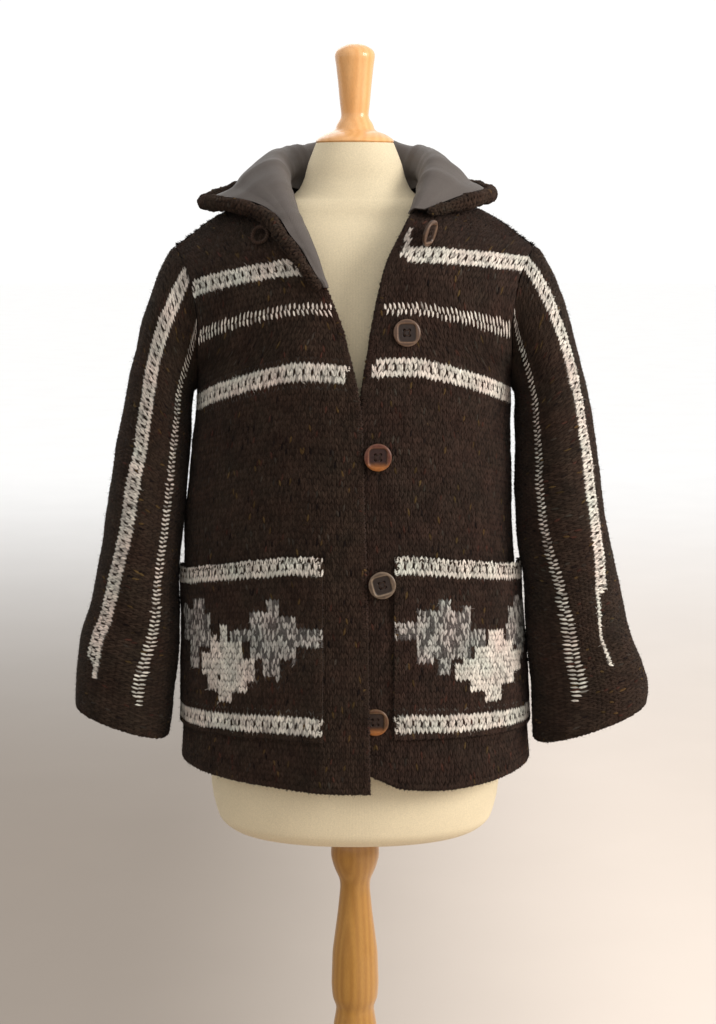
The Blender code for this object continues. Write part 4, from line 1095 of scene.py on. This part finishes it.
def stage_material(name):
    """A pale floor with painted shadow near the form, warm grey on its -X side, and white far behind it."""
    made, tree, shader, place = surface(name, Roughness=0.9, Specular_IOR_Level=0.05)
    parts = add(tree, "ShaderNodeSeparateXYZ", Vector=place["Object"])
    # Painted shadow: the floor is darker towards -X near the form.
    base = blend(tree, parts.outputs[0], -0.5, 0.7, (0.290, 0.250, 0.215, 1), (0.740, 0.650, 0.575, 1))
    base = blend(tree, parts.outputs[1], 2.0, 9.5, base, (0.965, 0.965, 0.965, 1))
    tone = remap(tree, noise(tree, place["Object"], 3.0, 4.0), 0.97, 1.03)
    tree.links.new(times(tree, base, tone), shader.inputs["Base Color"])
    return made


KNIT_TINTED = knit_material("knit_wool")
KNIT_UNDER = knit_material("knit_wool_under")
LINING_CLOTH = cloth_material("lining_weave", (0.088, 0.074, 0.066), 0.0009, 0.10, 0.70, 30.0)
JERSEY = cloth_material("form_jersey_cloth", (0.660, 0.560, 0.385), 0.0011, 0.05, 0.85, 9.0)
WOOD = wood_material("beech_lacquered", (0.740, 0.390, 0.150), (0.660, 0.325, 0.110))
# The pole's beech is a darker copy of the cap's: partly painted shade from the form above it, partly a
# yellower tone of its own.
WOOD_SHADED = wood_material("beech_lacquered_shaded", (0.400, 0.195, 0.038), (0.330, 0.150, 0.026))
WOOD_FLAT = wood_material("beech_lacquered_flat", (0.620, 0.320, 0.120), (0.500, 0.240, 0.080),
                          (0.06, 1.0, 1.0))
HORN = horn_material("horn_polished")
FLOOR = stage_material("pale_floor")


# Camera, light and floor

FOCAL = 2087 / 1024      # focal length to picture height
CAMERA = (0.0035, -2.4, 1.443)
CAMERA_DIP = 8.23
LAMPS = (
    ("key", (2.4, -1.3, 2.2), 1.2, 75, (1.0, 0.97, 0.93)),
    ("behind", (-0.6, 2.4, 2.8), 2.0, 14, (1.0, 1.0, 1.0)),
)


def build_stage():
    data = bpy.data.cameras.new("camera")
    data.sensor_width = 36.0
    data.lens = data.sensor_width * FOCAL
    camera = new_object("camera", data)
    camera.location = CAMERA
    camera.rotation_euler = (math.radians(90 - CAMERA_DIP), 0, 0)
    bpy.context.scene.camera = camera
    world = bpy.data.worlds.new("studio")
    world.use_nodes = True
    world.node_tree.nodes["Background"].inputs[0].default_value = (1.0, 0.995, 0.985, 1)
    world.node_tree.nodes["Background"].inputs[1].default_value = 1.04
    bpy.context.scene.world = world
    bpy.context.scene.view_settings.view_transform = "Standard"
    for name, place, size, power, colour in LAMPS:
        lamp = bpy.data.lights.new(name, "AREA")
        lamp.size = size
        lamp.energy = power
        lamp.color = colour
        light = new_object(name, lamp)
        light.location = place
        light.rotation_euler = (Vector((0, 0, 1.1)) - Vector(place)).to_track_quat("-Z", "Y").to_euler()
    turns = np.linspace(0, 2 * math.pi, 64, endpoint=False)
    points = [(r * math.cos(t), r * math.sin(t), 0) for r in (0.0001, 1.0, 3.0, 40.0) for t in turns]
    mesh = bpy.data.meshes.new("floor")
    mesh.from_pydata(points, [], ring_faces(4, 64).tolist())
    mesh.materials.append(FLOOR)
    floor = new_object("floor", mesh)
    floor.location.z = -0.0005


# Knitted panels

def level_rows(grid, normals, reference, side=0):
    """The grid with its rows flatter over the yoke than the body's own points lie."""
    height = grid[:, :, 2]
    line = height[:, reference]
    flat = smooth((line - YOKE[0]) / YOKE[1]) * (1 - smooth((line - YOKE[2]) / YOKE[3]))
    drop = line[:, None] - height
    wanted = line[:, None] - drop * (1 - YOKE_FLAT[side] * flat[:, None])
    made = np.empty_like(grid)
    turned = np.empty_like(normals)
    rows = np.arange(len(grid))
    for j in range(grid.shape[1]):
        level = np.maximum.accumulate(height[:, j] + rows * 1e-7)
        where = np.interp(wanted[:, j], level, rows)
        where = np.maximum.accumulate(where)
        for k in range(3):
            made[:, j, k] = np.interp(where, rows, grid[:, j, k])
            turned[:, j, k] = np.interp(where, rows, normals[:, j, k])
    return made, turned


def flow_round(grid, normals, table):
    """A sleeve's rows moved round it, so that its stripes run as the table says."""
    count = len(grid)
    steps = np.linalg.norm(np.diff(grid, axis=1), axis=2).mean(axis=0)
    along = np.concatenate([[0], np.cumsum(steps)])
    along /= along[-1]
    places, thin, heavy = (np.array(column) for column in zip(*table))
    share = np.arange(count) / count
    made = np.empty_like(grid)
    turned = np.empty_like(normals)
    for j in range(grid.shape[1]):
        shifts = (0, np.interp(along[j], places, thin), np.interp(along[j], places, heavy), 0, 0)
        source = (share + np.interp(share, (0, 0.20, 0.36, 0.60, 1), shifts)) * count
        i = np.floor(source).astype(int)
        t = (source - i)[:, None]
        made[:, j] = grid[i % count, j] * (1 - t) + grid[(i + 1) % count, j] * t
        turned[:, j] = normals[i % count, j] * (1 - t) + normals[(i + 1) % count, j] * t
    return made, turned


def stripe_kinds(places, rows):
    """Kinds for stripes that start at given rows: heavy ones are three rows tall, thin ones two."""
    kinds = plain(places)
    even = places["column"] % 2 == 0
    for style, first in rows:
        for k in range(STRIPE_TALL[style]):
            stripe_row(kinds, places["row"] == first + k, style, k, even)
    return kinds


def stripe_row(kinds, here, style, k, even):
    """One row of a stripe: a heavy one is cream with dark ticks in its middle, a thin one only ticks."""
    if style == "thin":
        kinds[here] = 3 + k
    elif k == 1:
        kinds[here] = 1
        kinds[here & even] = 3
    else:
        kinds[here] = 1


def knit_panel(name, node, parts_of_shell, parts, stitch_kinds_shaded=None):
    """The panel's cloth and, as one joined piece, its stitches and fibres.

    The last argument is the stitches' places and kinds; the cloth between them takes their colour, darkened as
    painted shade.
    """
    points, faces = parts_of_shell
    # The cloth between the stitches is painted darker than their yarn: painted shade in the gaps.
    tint = np.tile(BROWN * 0.75, (len(points), 1))
    if stitch_kinds_shaded is not None:
        places, kinds = stitch_kinds_shaded
        tree = KDTree(len(kinds))
        for i, spot in enumerate(places["place"]):
            tree.insert(spot, i)
        tree.balance()
        nearest = np.array([tree.find(p)[1] for p in points[:len(points) // 2]])
        near = np.concatenate([kinds[nearest], np.zeros(len(points) - len(nearest), int)])
        # Under cream and marl stitches the cloth is a darker copy of their colour: painted shade.
        tint[near == 1] = CREAM * 0.34
        tint[near == 2] = (MARL_LIGHT + MARL_DARK) * 0.20
    cloth = mesh_piece(name + "_cloth", points, faces, KNIT_UNDER, tint, sharp=60)
    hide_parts(node)
    points, faces, tint = joined(parts)
    knit = mesh_piece(name + "_stitches", points, faces, KNIT_TINTED, tint)
    return cloth


def wall(fine, normals, step, free, thick=KNIT, closed=False):
    """The cloth under the stitches, thinner towards its free edges."""
    rows, columns = fine.shape[:2]
    i = np.unique(np.append(np.arange(0, rows, step), rows - 1))
    j = np.arange(0, columns, step)
    if not closed:
        j = np.unique(np.append(j, columns - 1))
    sink = np.full((rows, columns), SHELL_SINK)
    deep = np.full((rows, columns), thick)
    for where in free:
        row, column = {"bottom": (0, slice(None)), "top": (rows - 1, slice(None)),
                       "first": (slice(None), 0), "last": (slice(None), columns - 1)}[where]
        sink[row, column] = thick * 0.36
        deep[row, column] = thick * 0.64
    pick = np.ix_(i, j)
    outer = fine[pick] - normals[pick] * sink[pick][:, :, None]
    inner = fine[pick] - normals[pick] * deep[pick][:, :, None]
    return outer, inner


def build_front(side, name, pocket, coarse):
    fine, normals = folded(name, coarse)
    outer, inner = wall(fine, normals, 2, ("bottom", "first"))
    places = lattice(*level_rows(fine, normals, EDGE_CELLS * FINE, side), EDGE_CELLS * FINE)
    kinds = stripe_kinds(places, stripe_rows(name, places))
    x, z = places["place"][:, 0], places["place"][:, 2]
    edge = np.interp(z, [row[0] for row in EDGES], [row[1 if side < 0 else 2] for row in EDGES])
    kinds[side * x - edge < EDGE_FREE] = 0
    if side > 0:
        at, level, slope, low, high = HOOK
        kinds[(x < at) & (z > level - 0.030)] = 0
        kinds[(np.abs(x - at - (z - level) * slope) < WALE * 0.62) & (z > low) & (z < high)] = 1
    parts = [stitches(places, kinds), fibres(places, kinds, 3.0)]
    parts += edge_stitches(fine[:, 0], normals[:, 0], fine[:, 0] - fine[:, 2], 1.8)
    parts += edge_stitches(fine[0], normals[0], fine[0] - fine[2], 1.8)
    knit_panel(name, name, shell(seam_clear(outer, -1), seam_clear(inner, -1)), parts,
               stitch_kinds_shaded=(places, kinds))
    build_pocket(side, pocket, fine, normals)


def stripe_rows(name, places):
    """The first row of each of a panel's stripes, from the climb at which it is knitted in."""
    climbs = np.array([row[0] for row in BODY])
    row_climb = np.interp(places["index"] / FINE, np.arange(len(BODY)), climbs)
    rows = []
    for style, climb in STRIPES[name]:
        nearest = places["row"][np.argmin(np.abs(row_climb - climb))]
        rows.append((style, nearest - 1))
    return rows


def build_pocket(side, name, fine, normals):
    low, high = (row * FINE for row in POCKET_ROWS)
    patch = fine[low:high + 1, EDGE_CELLS * FINE:]
    turned = normals[low:high + 1, EDGE_CELLS * FINE:]
    up = np.linspace(0, 1, patch.shape[0])[:, None, None] ** 3
    across = np.linspace(0, 1, patch.shape[1])[None, :, None]
    gape = POCKET_GAPE[side] * up * np.sin(across * math.pi * POCKET_SWEEP)
    face = patch + turned * (SEAM + gape + POCKET_KNIT)
    out = outward(face, grid_normals(face))
    outer, inner = wall(face, out, 2, ("bottom", "top", "first"), POCKET_KNIT)
    places = lattice(face, out, 0)
    kinds = stripe_kinds(places, (("heavy", 1), ("heavy", places["row"].max() - 2)))
    x, z = places["place"][:, 0], places["place"][:, 2]
    for kind, x0, x1, z0, z1 in MOTIFS[name]:
        kinds[(x > x0) & (x < x1) & (z > z0) & (z < z1)] = 1 if kind == "cream" else 2
    parts = [stitches(places, kinds), fibres(places, kinds, 3.0)]
    for line, facing, way in ((face[-1], out[-1], face[-1] - face[-3]), (face[0], out[0], face[0] - face[2]),
                              (face[:, 0], out[:, 0], face[:, 0] - face[:, 2])):
        parts += edge_stitches(line, facing, way, 0.8, POCKET_KNIT, 0.003)
    knit_panel(name, name, shell(seam_clear(outer, -1), seam_clear(inner, -1)), parts,
               (places, kinds))


def build_back(coarse):
    fine, normals = folded("back", coarse)
    outer, inner = wall(fine, normals, 3, ("bottom",))
    places = lattice(*level_rows(fine, normals, fine.shape[1] // 2), fine.shape[1] // 2)
    kinds = stripe_kinds(places, stripe_rows("back", places))
    parts = [stitches(places, kinds), fibres(places, kinds, 1.2)]
    parts += edge_stitches(fine[0], normals[0], fine[0] - fine[2], 0.8)
    knit_panel("back", "back", shell(seam_clear(outer, 1), seam_clear(inner, 1)), parts,
               stitch_kinds_shaded=(places, kinds))


def build_sleeve(side, name, rings, grids):
    fine = finer(sleeve_grid(side, rings, grids), closed=True)
    normals = grid_normals(fine, closed=True)
    middle = fine.mean(axis=1, keepdims=True)
    turn = np.sign(np.sum(normals[3 * FINE:] * (fine[3 * FINE:] - middle[3 * FINE:])))
    fine = fold(name, fine, normals * turn)
    normals = grid_normals(fine, closed=True) * turn
    outer, inner = wall(fine, normals, 2, ("top",), closed=True)
    inner[0, :, 0] = side * np.maximum(side * inner[0, :, 0], side * outer[0, :, 0])
    flowed = flow_round(np.swapaxes(fine, 0, 1), np.swapaxes(normals, 0, 1), SLEEVE_FLOW[side])
    places = lattice(*flowed, 0, COURSE, WALE, closed=True)
    kinds = sleeve_kinds(side, places, fine.shape[1])
    parts = [stitches(places, kinds), fibres(places, kinds, 3.0)]
    parts += edge_stitches(fine[-1], normals[-1], fine[-1] - fine[-3], 1.8, closed=True)
    knit_panel(name, name, shell(outer, inner, closed=True), parts,
               stitch_kinds_shaded=(places, kinds))


def sleeve_kinds(side, places, ring_size):
    kinds = plain(places)
    share = places["index"] / ring_size
    even = places["column"] % 2 == 0
    along = places["across"] / places["across"].max()
    for style, where, full, single in SLEEVE_STRIPES[side]:
        first = places["row"][np.argmin(np.abs(share - where))] - 1
        for k in range(STRIPE_TALL[style]):
            here = (places["row"] == first + k) & (along < (single if k == 0 else full))
            stripe_row(kinds, here, style, k, even)
    return kinds


def build_hood(grids):
    grid, stations = hood_grid(grids)
    fine = finer(grid, 4)
    normals = grid_normals(fine)
    if normals[len(fine) // 2, 4, 1] > 0:
        normals = -normals
    share = taper(stations, HOOD_THIN, HOOD_TAPER)
    knit = KNIT * np.interp(np.arange(len(fine)) / 4, np.arange(len(grid)), share)[:, None, None]
    outer, inner = fine + normals * np.minimum(SHELL_SINK, knit * 0.3), fine + normals * knit
    places = lattice(np.swapaxes(fine, 0, 1), -np.swapaxes(normals, 0, 1), len(fine) // 2)
    parts = [stitches(places, plain(places)), fibres(places, plain(places), 3.0)]
    knit_panel("hood", "hood", shell(outer[::2, ::2], inner[::2, ::2]), parts)
    build_lining(fine, normals, knit + SEAM)
    rim = unit(np.gradient(grid[:, -1], axis=0))
    ahead = grid[:, -1] - grid[:, -2]
    ahead = unit(ahead - rim * np.sum(ahead * rim, axis=1, keepdims=True))
    coarse_normals = grid_normals(grid)
    if coarse_normals[len(grid) // 2, 1, 1] > 0:
        coarse_normals = -coarse_normals
    near = KNIT * share[:, None] + SEAM
    roll = ROLL * taper(stations, ROLL_THIN, ROLL_TAPER)
    centre = grid[:, -1] + coarse_normals[:, -1] * (near + LINING) / 2 + ahead * (roll + ROLL_GAP)[:, None]
    build_edging(centre, roll)
    return centre


def build_lining(fine, normals, near):
    across = np.linalg.norm(np.diff(fine, axis=1), axis=2).cumsum(axis=1)
    across = np.concatenate([np.zeros((len(fine), 1)), across], axis=1)
    u = np.broadcast_to(lengths(fine[:, 0])[:, None], fine.shape[:2])
    share = np.linspace(0, 1, fine.shape[1])[None]
    ripple = 0.0016 * np.sin(u * 165 + 1.6 * np.sin(u * 39)) + 0.0009 * np.sin(u * 310 + across * 40)
    lift = np.maximum(ripple * np.sin(np.pi * share) ** 0.7, -0.0002) + 0.0002
    points, faces = shell(fine + normals * (near + LINING + lift[:, :, None]), fine + normals * near)
    uvs = np.stack([u, across], axis=2).reshape(-1, 2)
    made = mesh_piece("hood_lining_cloth", points, faces, LINING_CLOTH, uvs=np.concatenate([uvs, uvs]),
                      sharp=60)
    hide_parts("hood_lining")


def spokes(line, sides):
    """Directions outward, round each point of a line, without twist."""
    ahead = unit(np.gradient(line, axis=0))
    across = np.cross(ahead[0], np.array([0, 0, 1.0]))
    found = []
    for direction in ahead:
        across = unit(across - direction * across.dot(direction))
        found.append(across)
    found = np.array(found)
    turns = 2 * np.pi * np.arange(sides) / sides
    return (found[:, None] * np.cos(turns)[None, :, None]
            + np.cross(ahead, found)[:, None] * np.sin(turns)[None, :, None])


def line_through(points, step):
    """A smooth line through the points with a point about every step."""
    fine = resample(points[:, None], 0, np.linspace(0, len(points) - 1, len(points) * 12))[:, 0]
    return even_points(fine, max(int(lengths(points)[-1] / step), 4))


def build_edging(centre, radii):
    line = line_through(centre, 0.0025)
    length = lengths(line)
    known = lengths(centre)
    radius = np.interp(length / length[-1], known / known[-1], radii)
    uneven = 1 + 0.09 * np.sin(length * 140) + 0.07 * np.sin(length * 330 + 1)
    uneven += 0.05 * np.sin(length * 61 + 2)
    ends = np.minimum(length, length[-1] - length) / ROLL
    uneven = uneven * np.sqrt(np.clip(ends * 2 - ends ** 2, 0.02, 1) * (ends < 1) + (ends >= 1))
    sides = 24
    spoke = spokes(line, sides)
    tube = line[:, None] + spoke * (radius * uneven)[:, None, None]
    points = (tube - spoke * SHELL_SINK).reshape(-1, 3)
    faces = capped(ring_faces(len(line), sides), len(line), sides, turned=1)
    # The core under the edging's stitches is painted darker brown: painted shade between them.
    cloth = mesh_piece("hood_edging_core", points, faces, KNIT_UNDER, np.tile(BROWN * 0.6, (len(points), 1)))
    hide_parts("hood_edging")
    places = lattice(np.swapaxes(tube, 0, 1), np.swapaxes(spoke, 0, 1), 0, 0.0052, 0.0052, closed=True)
    none = plain(places)
    points, faces, tint = joined([stitches(places, none, 0.0015), fibres(places, none, 5.0, (0.002, 0.007))])
    mesh_piece("hood_edging_stitches", points, faces, KNIT_TINTED, tint * 1.25)


def build_loop(rim, grids):
    place = rim[np.argmin(np.abs(rim[:, 0] - LOOP_X) + (rim[:, 1] > 0))]
    outer, normals = grids[-1]
    reach = ROLL + SEAM + LOOP_CORD + LOOP_RADIUS
    middle = place - np.array([0, 0, reach])
    steps = np.linspace(0, 1, 10, endpoint=False)[:, None]
    line = np.concatenate([a + (b - a) * steps for a, b in zip(rim, rim[1:])])
    for _ in range(8):
        place = line[np.argmin(np.linalg.norm(line - middle, axis=1))]
        apart = np.linalg.norm(outer - middle, axis=2)
        i, j = np.unravel_index(np.argmin(apart), apart.shape)
        normal = normals[i, j]
        height = (middle - outer[i, j]).dot(normal)
        middle = middle + normal * (LOOP_CORD + LOOP_STANDS - height)
        away = middle - place
        middle = place + unit(away) * reach
    down = unit(away)
    across = unit(np.cross(down, normal))
    out = np.cross(across, down)
    around, section = 120, 16
    turn = 2 * np.pi * np.arange(around)[:, None] / around
    roll = 2 * np.pi * np.arange(section)[None] / section
    cord = LOOP_CORD * (1 + 0.16 * np.cos(2 * (roll + turn * 13)))
    reach = LOOP_RADIUS * (1 + 0.05 * np.sin(2 * turn) + 0.03 * np.sin(3 * turn + 1)) + cord * np.cos(roll)
    spoke = down * np.cos(turn)[..., None] + across * np.sin(turn)[..., None]
    points = middle + spoke * reach[..., None] + out * (cord * np.sin(roll))[..., None]
    # Painted shade: the cord is painted darker in the grooves of its twist, where it is thinner, and lighter
    # on its ridges.
    tint = BROWN * (1.4 + 0.5 * np.cos(2 * (roll + turn * 13)))[..., None]
    made = mesh_piece("button_loop_cord", points.reshape(-1, 3), ring_faces(around, section, closed=True),
                      KNIT_TINTED, np.clip(tint.reshape(-1, 3), 0, 1))
    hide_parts("button_loop")


# Buttons

def under_front(x, height):
    top = shoulder("height", abs(x))
    climb = (height - HEM) / (top - SHOULDER_DROP - HEM)
    if climb > 1:
        sine = (height - top + SHOULDER_DROP) / SHOULDER_DROP
        climb = 1 + math.degrees(math.asin(min(sine, 1.0))) / 90
    angle = angle_at(1, x, climb)
    here = front_point(1, angle, climb)
    across = front_point(1, angle + 0.01, climb) - here
    along = front_point(1, angle, climb + 0.01) - here
    normal = unit(np.cross(along, across))
    return here, -normal if normal[1] > 0 else normal


def build_button(row):
    """A turned face with a raised rim, a sunken rounded square with four holes, and its thread."""
    place, normal = under_front(row["x"], row["height"])
    stands = row["stands"]
    facing = Vector(normal)
    right = Vector((0, 0, 1)).cross(facing).normalized()
    up = facing.cross(right)
    basis = Matrix((right, up, facing)).transposed()
    swing = math.radians(row["swing"])
    swung = Matrix.Rotation(swing, 3, Matrix.Rotation(math.radians(-row["lean"]), 3, facing) @ up)
    turn = Matrix.Rotation(math.radians(row["turn"]), 3, "Z")
    lift = max(radius * BUTTON_RADIUS * math.sin(swing) - level * BUTTON_THICK * math.cos(swing)
               for radius, level in BUTTON_SECTION)
    centre = np.array(place) + np.array(facing) * (stands + lift)
    whole = np.array(swung @ basis @ turn)
    sides = 72
    radii = np.concatenate([np.linspace(0.0002, 0.0060, 20), np.linspace(0.0064, BUTTON_RADIUS, 34)])
    turns = 2 * np.pi * np.arange(sides) / sides
    r, t = np.meshgrid(radii, turns, indexing="ij")
    x, y = r * np.cos(t), r * np.sin(t)
    square = (np.abs(x) ** 5 + np.abs(y) ** 5) ** 0.2
    pan = smooth((square - BUTTON_PAN * 0.86) / (BUTTON_PAN * 0.20))
    edge = np.clip((r - BUTTON_RADIUS * 0.72) / (BUTTON_RADIUS * 0.28), 0, 1)
    height = BUTTON_THICK * (0.56 + 0.44 * pan * np.sqrt(1 - 0.80 * edge ** 3))
    for sx in (-1, 1):
        for sy in (-1, 1):
            apart = np.hypot(x - sx * HOLE_AT, y - sy * HOLE_AT)
            height -= 0.0020 * (1 - smooth((apart - HOLE_RADIUS * 0.8) / (HOLE_RADIUS * 0.5)))
    face_tone, pan_tone, highlight_tone = (np.array(c) for c in TONES[row["tone"]])
    # The sunken pan is darker, partly its own colour and partly painted shade; the lighter ring along the
    # pan's lip and the lighter outer rim are painted highlights.
    ring = np.exp(-((square - BUTTON_PAN) / 0.0007) ** 2)[..., None]
    tint = face_tone * pan[..., None] + pan_tone * (1 - pan[..., None])
    tint = tint * (1 - ring) + highlight_tone * ring
    outer_highlight = smooth((r - 0.0128) / 0.0015)[..., None]
    tint = tint * (1 - 0.5 * outer_highlight) + highlight_tone * 0.5 * outer_highlight
    if row["tone"] in ("amber", "red"):
        # Painted light: the lower side of the amber and red buttons is painted a glowing orange, as if lit
        # through.
        painted_glow = smooth((-y - 0.004) / 0.009)[..., None]
        tint = tint * (1 - painted_glow) + np.array((0.25, 0.085, 0.018)) * painted_glow
    rings = [np.stack([x, y, height], axis=2)]
    for radius, level in ((1.0, 0.42), (0.985, 0.22), (0.93, 0.06), (0.86, 0.0), (0.3, 0.0)):
        rim = BUTTON_RADIUS * radius
        z = np.full(sides, BUTTON_THICK * level)
        rings.append(np.stack([rim * np.cos(turns), rim * np.sin(turns), z], axis=1)[None])
        tint = np.concatenate([tint, np.broadcast_to(face_tone * 0.8, (1, sides, 3))])
    grid = np.concatenate(rings)
    faces = capped(ring_faces(len(grid), sides)[:, [0, 3, 2, 1]], len(grid), sides, turned=1)
    points = grid.reshape(-1, 3) @ whole.T + centre
    made = mesh_piece(row["name"] + "_face", points, faces, HORN, np.clip(tint.reshape(-1, 3), 0, 1))
    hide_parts(row["name"])
    strands = []
    level = BUTTON_THICK * 0.56
    for (ax, ay), (bx, by) in (((-1, -1), (1, -1)), ((-1, 1), (1, 1)),
                               ((-1, -1), (-1, 1)), ((1, -1), (1, 1))):
        a = np.array([ax * HOLE_AT, ay * HOLE_AT, level - 0.0010])
        b = np.array([bx * HOLE_AT, by * HOLE_AT, level - 0.0010])
        for shift in (-0.0003, 0.0003):
            side = unit(np.cross(b - a, (0, 0, 1.0)))
            s = np.linspace(0, 1, 9)[:, None]
            line = a + (b - a) * s + side * shift + np.array([0, 0, 1]) * (0.0016 * np.sin(np.pi * s) ** 0.5)
            strands.append(thread(line @ whole.T + centre, 0.00032))
    depth = max(stands - REST, 0.0)
    if depth > 0:
        for k in range(6):
            angle = 2 * math.pi * k / 6
            spot = np.array([math.cos(angle), math.sin(angle), 0]) * (SHANK_RADIUS - 0.0006)
            line = np.stack([spot + np.array([0, 0, z]) for z in np.linspace(-depth, 0.0002, 4)])
            strands.append(thread(line @ whole.T + centre, 0.0007))
    points, faces, tint = joined(strands)
    mesh_piece(row["name"] + "_thread", points, faces, KNIT_TINTED, tint)


def thread(line, radius):
    points = (line[:, None] + spokes(line, 6) * radius).reshape(-1, 3)
    faces = ring_faces(len(line), 6)
    faces = np.concatenate([faces[:, [0, 1, 2]], faces[:, [0, 2, 3]]])
    return points, faces, np.tile(BROWN * 1.3, (len(points), 1))


# Dress form and turned wood

def lathe(name, profile, finish, node):
    """A turned piece on its profile, with a smooth line through the profile's points."""
    points = np.array([(radius, 0.0, height) for radius, height in profile])
    line = [points[0]]
    for a, b in zip(points, points[1:]):
        steps = max(int(np.linalg.norm(b - a) / 0.0030), 1)
        line += [a + (b - a) * s / steps for s in range(1, steps + 1)]
    line = np.array(line)
    for _ in range(2):
        line[1:-1] = line[1:-1] * 0.5 + (line[:-2] + line[2:]) * 0.25
    turns = 2 * np.pi * np.arange(TURNED_SIDES) / TURNED_SIDES
    grid = np.stack([line[:, :1] * np.cos(turns), line[:, :1] * np.sin(turns),
                     np.repeat(line[:, 2:], TURNED_SIDES, axis=1)], axis=2)
    faces = capped(ring_faces(len(line), TURNED_SIDES), len(line), TURNED_SIDES)
    made = mesh_piece(name, grid.reshape(-1, 3), faces, finish, sharp=50)
    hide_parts(node)


def build_form():
    rows = np.array([[(half, front, height), (half, back, height)] for height, half, front, back in TORSO])
    rows = resample(rows, 0, np.linspace(0, len(TORSO) - 1, (len(TORSO) - 1) * 5 + 1))
    sides = 112
    turns = 2 * np.pi * np.arange(sides) / sides
    cos, sin = (np.sign(wave) * np.abs(wave) ** (2 / TORSO_ROUND) for wave in (np.cos(turns), np.sin(turns)))
    y = np.where(sin > 0, sin * rows[:, 1, 1:2], sin * rows[:, 0, 1:2])
    grid = np.stack([rows[:, 0, 0:1] * cos, y, np.broadcast_to(rows[:, 0, 2:3], y.shape)], axis=2)
    faces = capped(ring_faces(len(grid), sides), len(grid), sides)
    uvs = np.stack([np.broadcast_to(turns[None] * 0.14, y.shape), grid[:, :, 2]], axis=2).reshape(-1, 2)
    made = mesh_piece("dress_form_jersey", grid.reshape(-1, 3), faces, JERSEY, uvs=uvs,
                      sharp=60)
    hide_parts("dress_form")


def main():
    build_stage()
    grids = {}
    for side in (-1, 1):
        coarse = front_grid(side)
        grids[side] = (seam_clear(coarse.copy(), -1), outward(coarse, grid_normals(coarse)))
    coarse = back_grid()
    grids["back"] = (seam_clear(coarse.copy(), 1), outward(coarse, grid_normals(coarse)))
    build_front(-1, "front_right", "pocket_right", grids[-1][0])
    build_front(1, "front_left", "pocket_left", grids[1][0])
    build_back(grids["back"][0])
    build_sleeve(-1, "sleeve_right", SLEEVE_MINUS_X, grids)
    build_sleeve(1, "sleeve_left", SLEEVE_PLUS_X, grids)
    rim = build_hood(grids)
    build_loop(rim, grids)
    for row in BUTTONS:
        build_button(dict(zip(BUTTON_COLUMNS, row)))
    build_form()
    lathe("neck_cap_turned", NECK_CAP, WOOD, "neck_cap")
    lathe("pole_turned", POLE, WOOD_SHADED, "pole")
    lathe("base_turned", BASE, WOOD_FLAT, "base")


main()
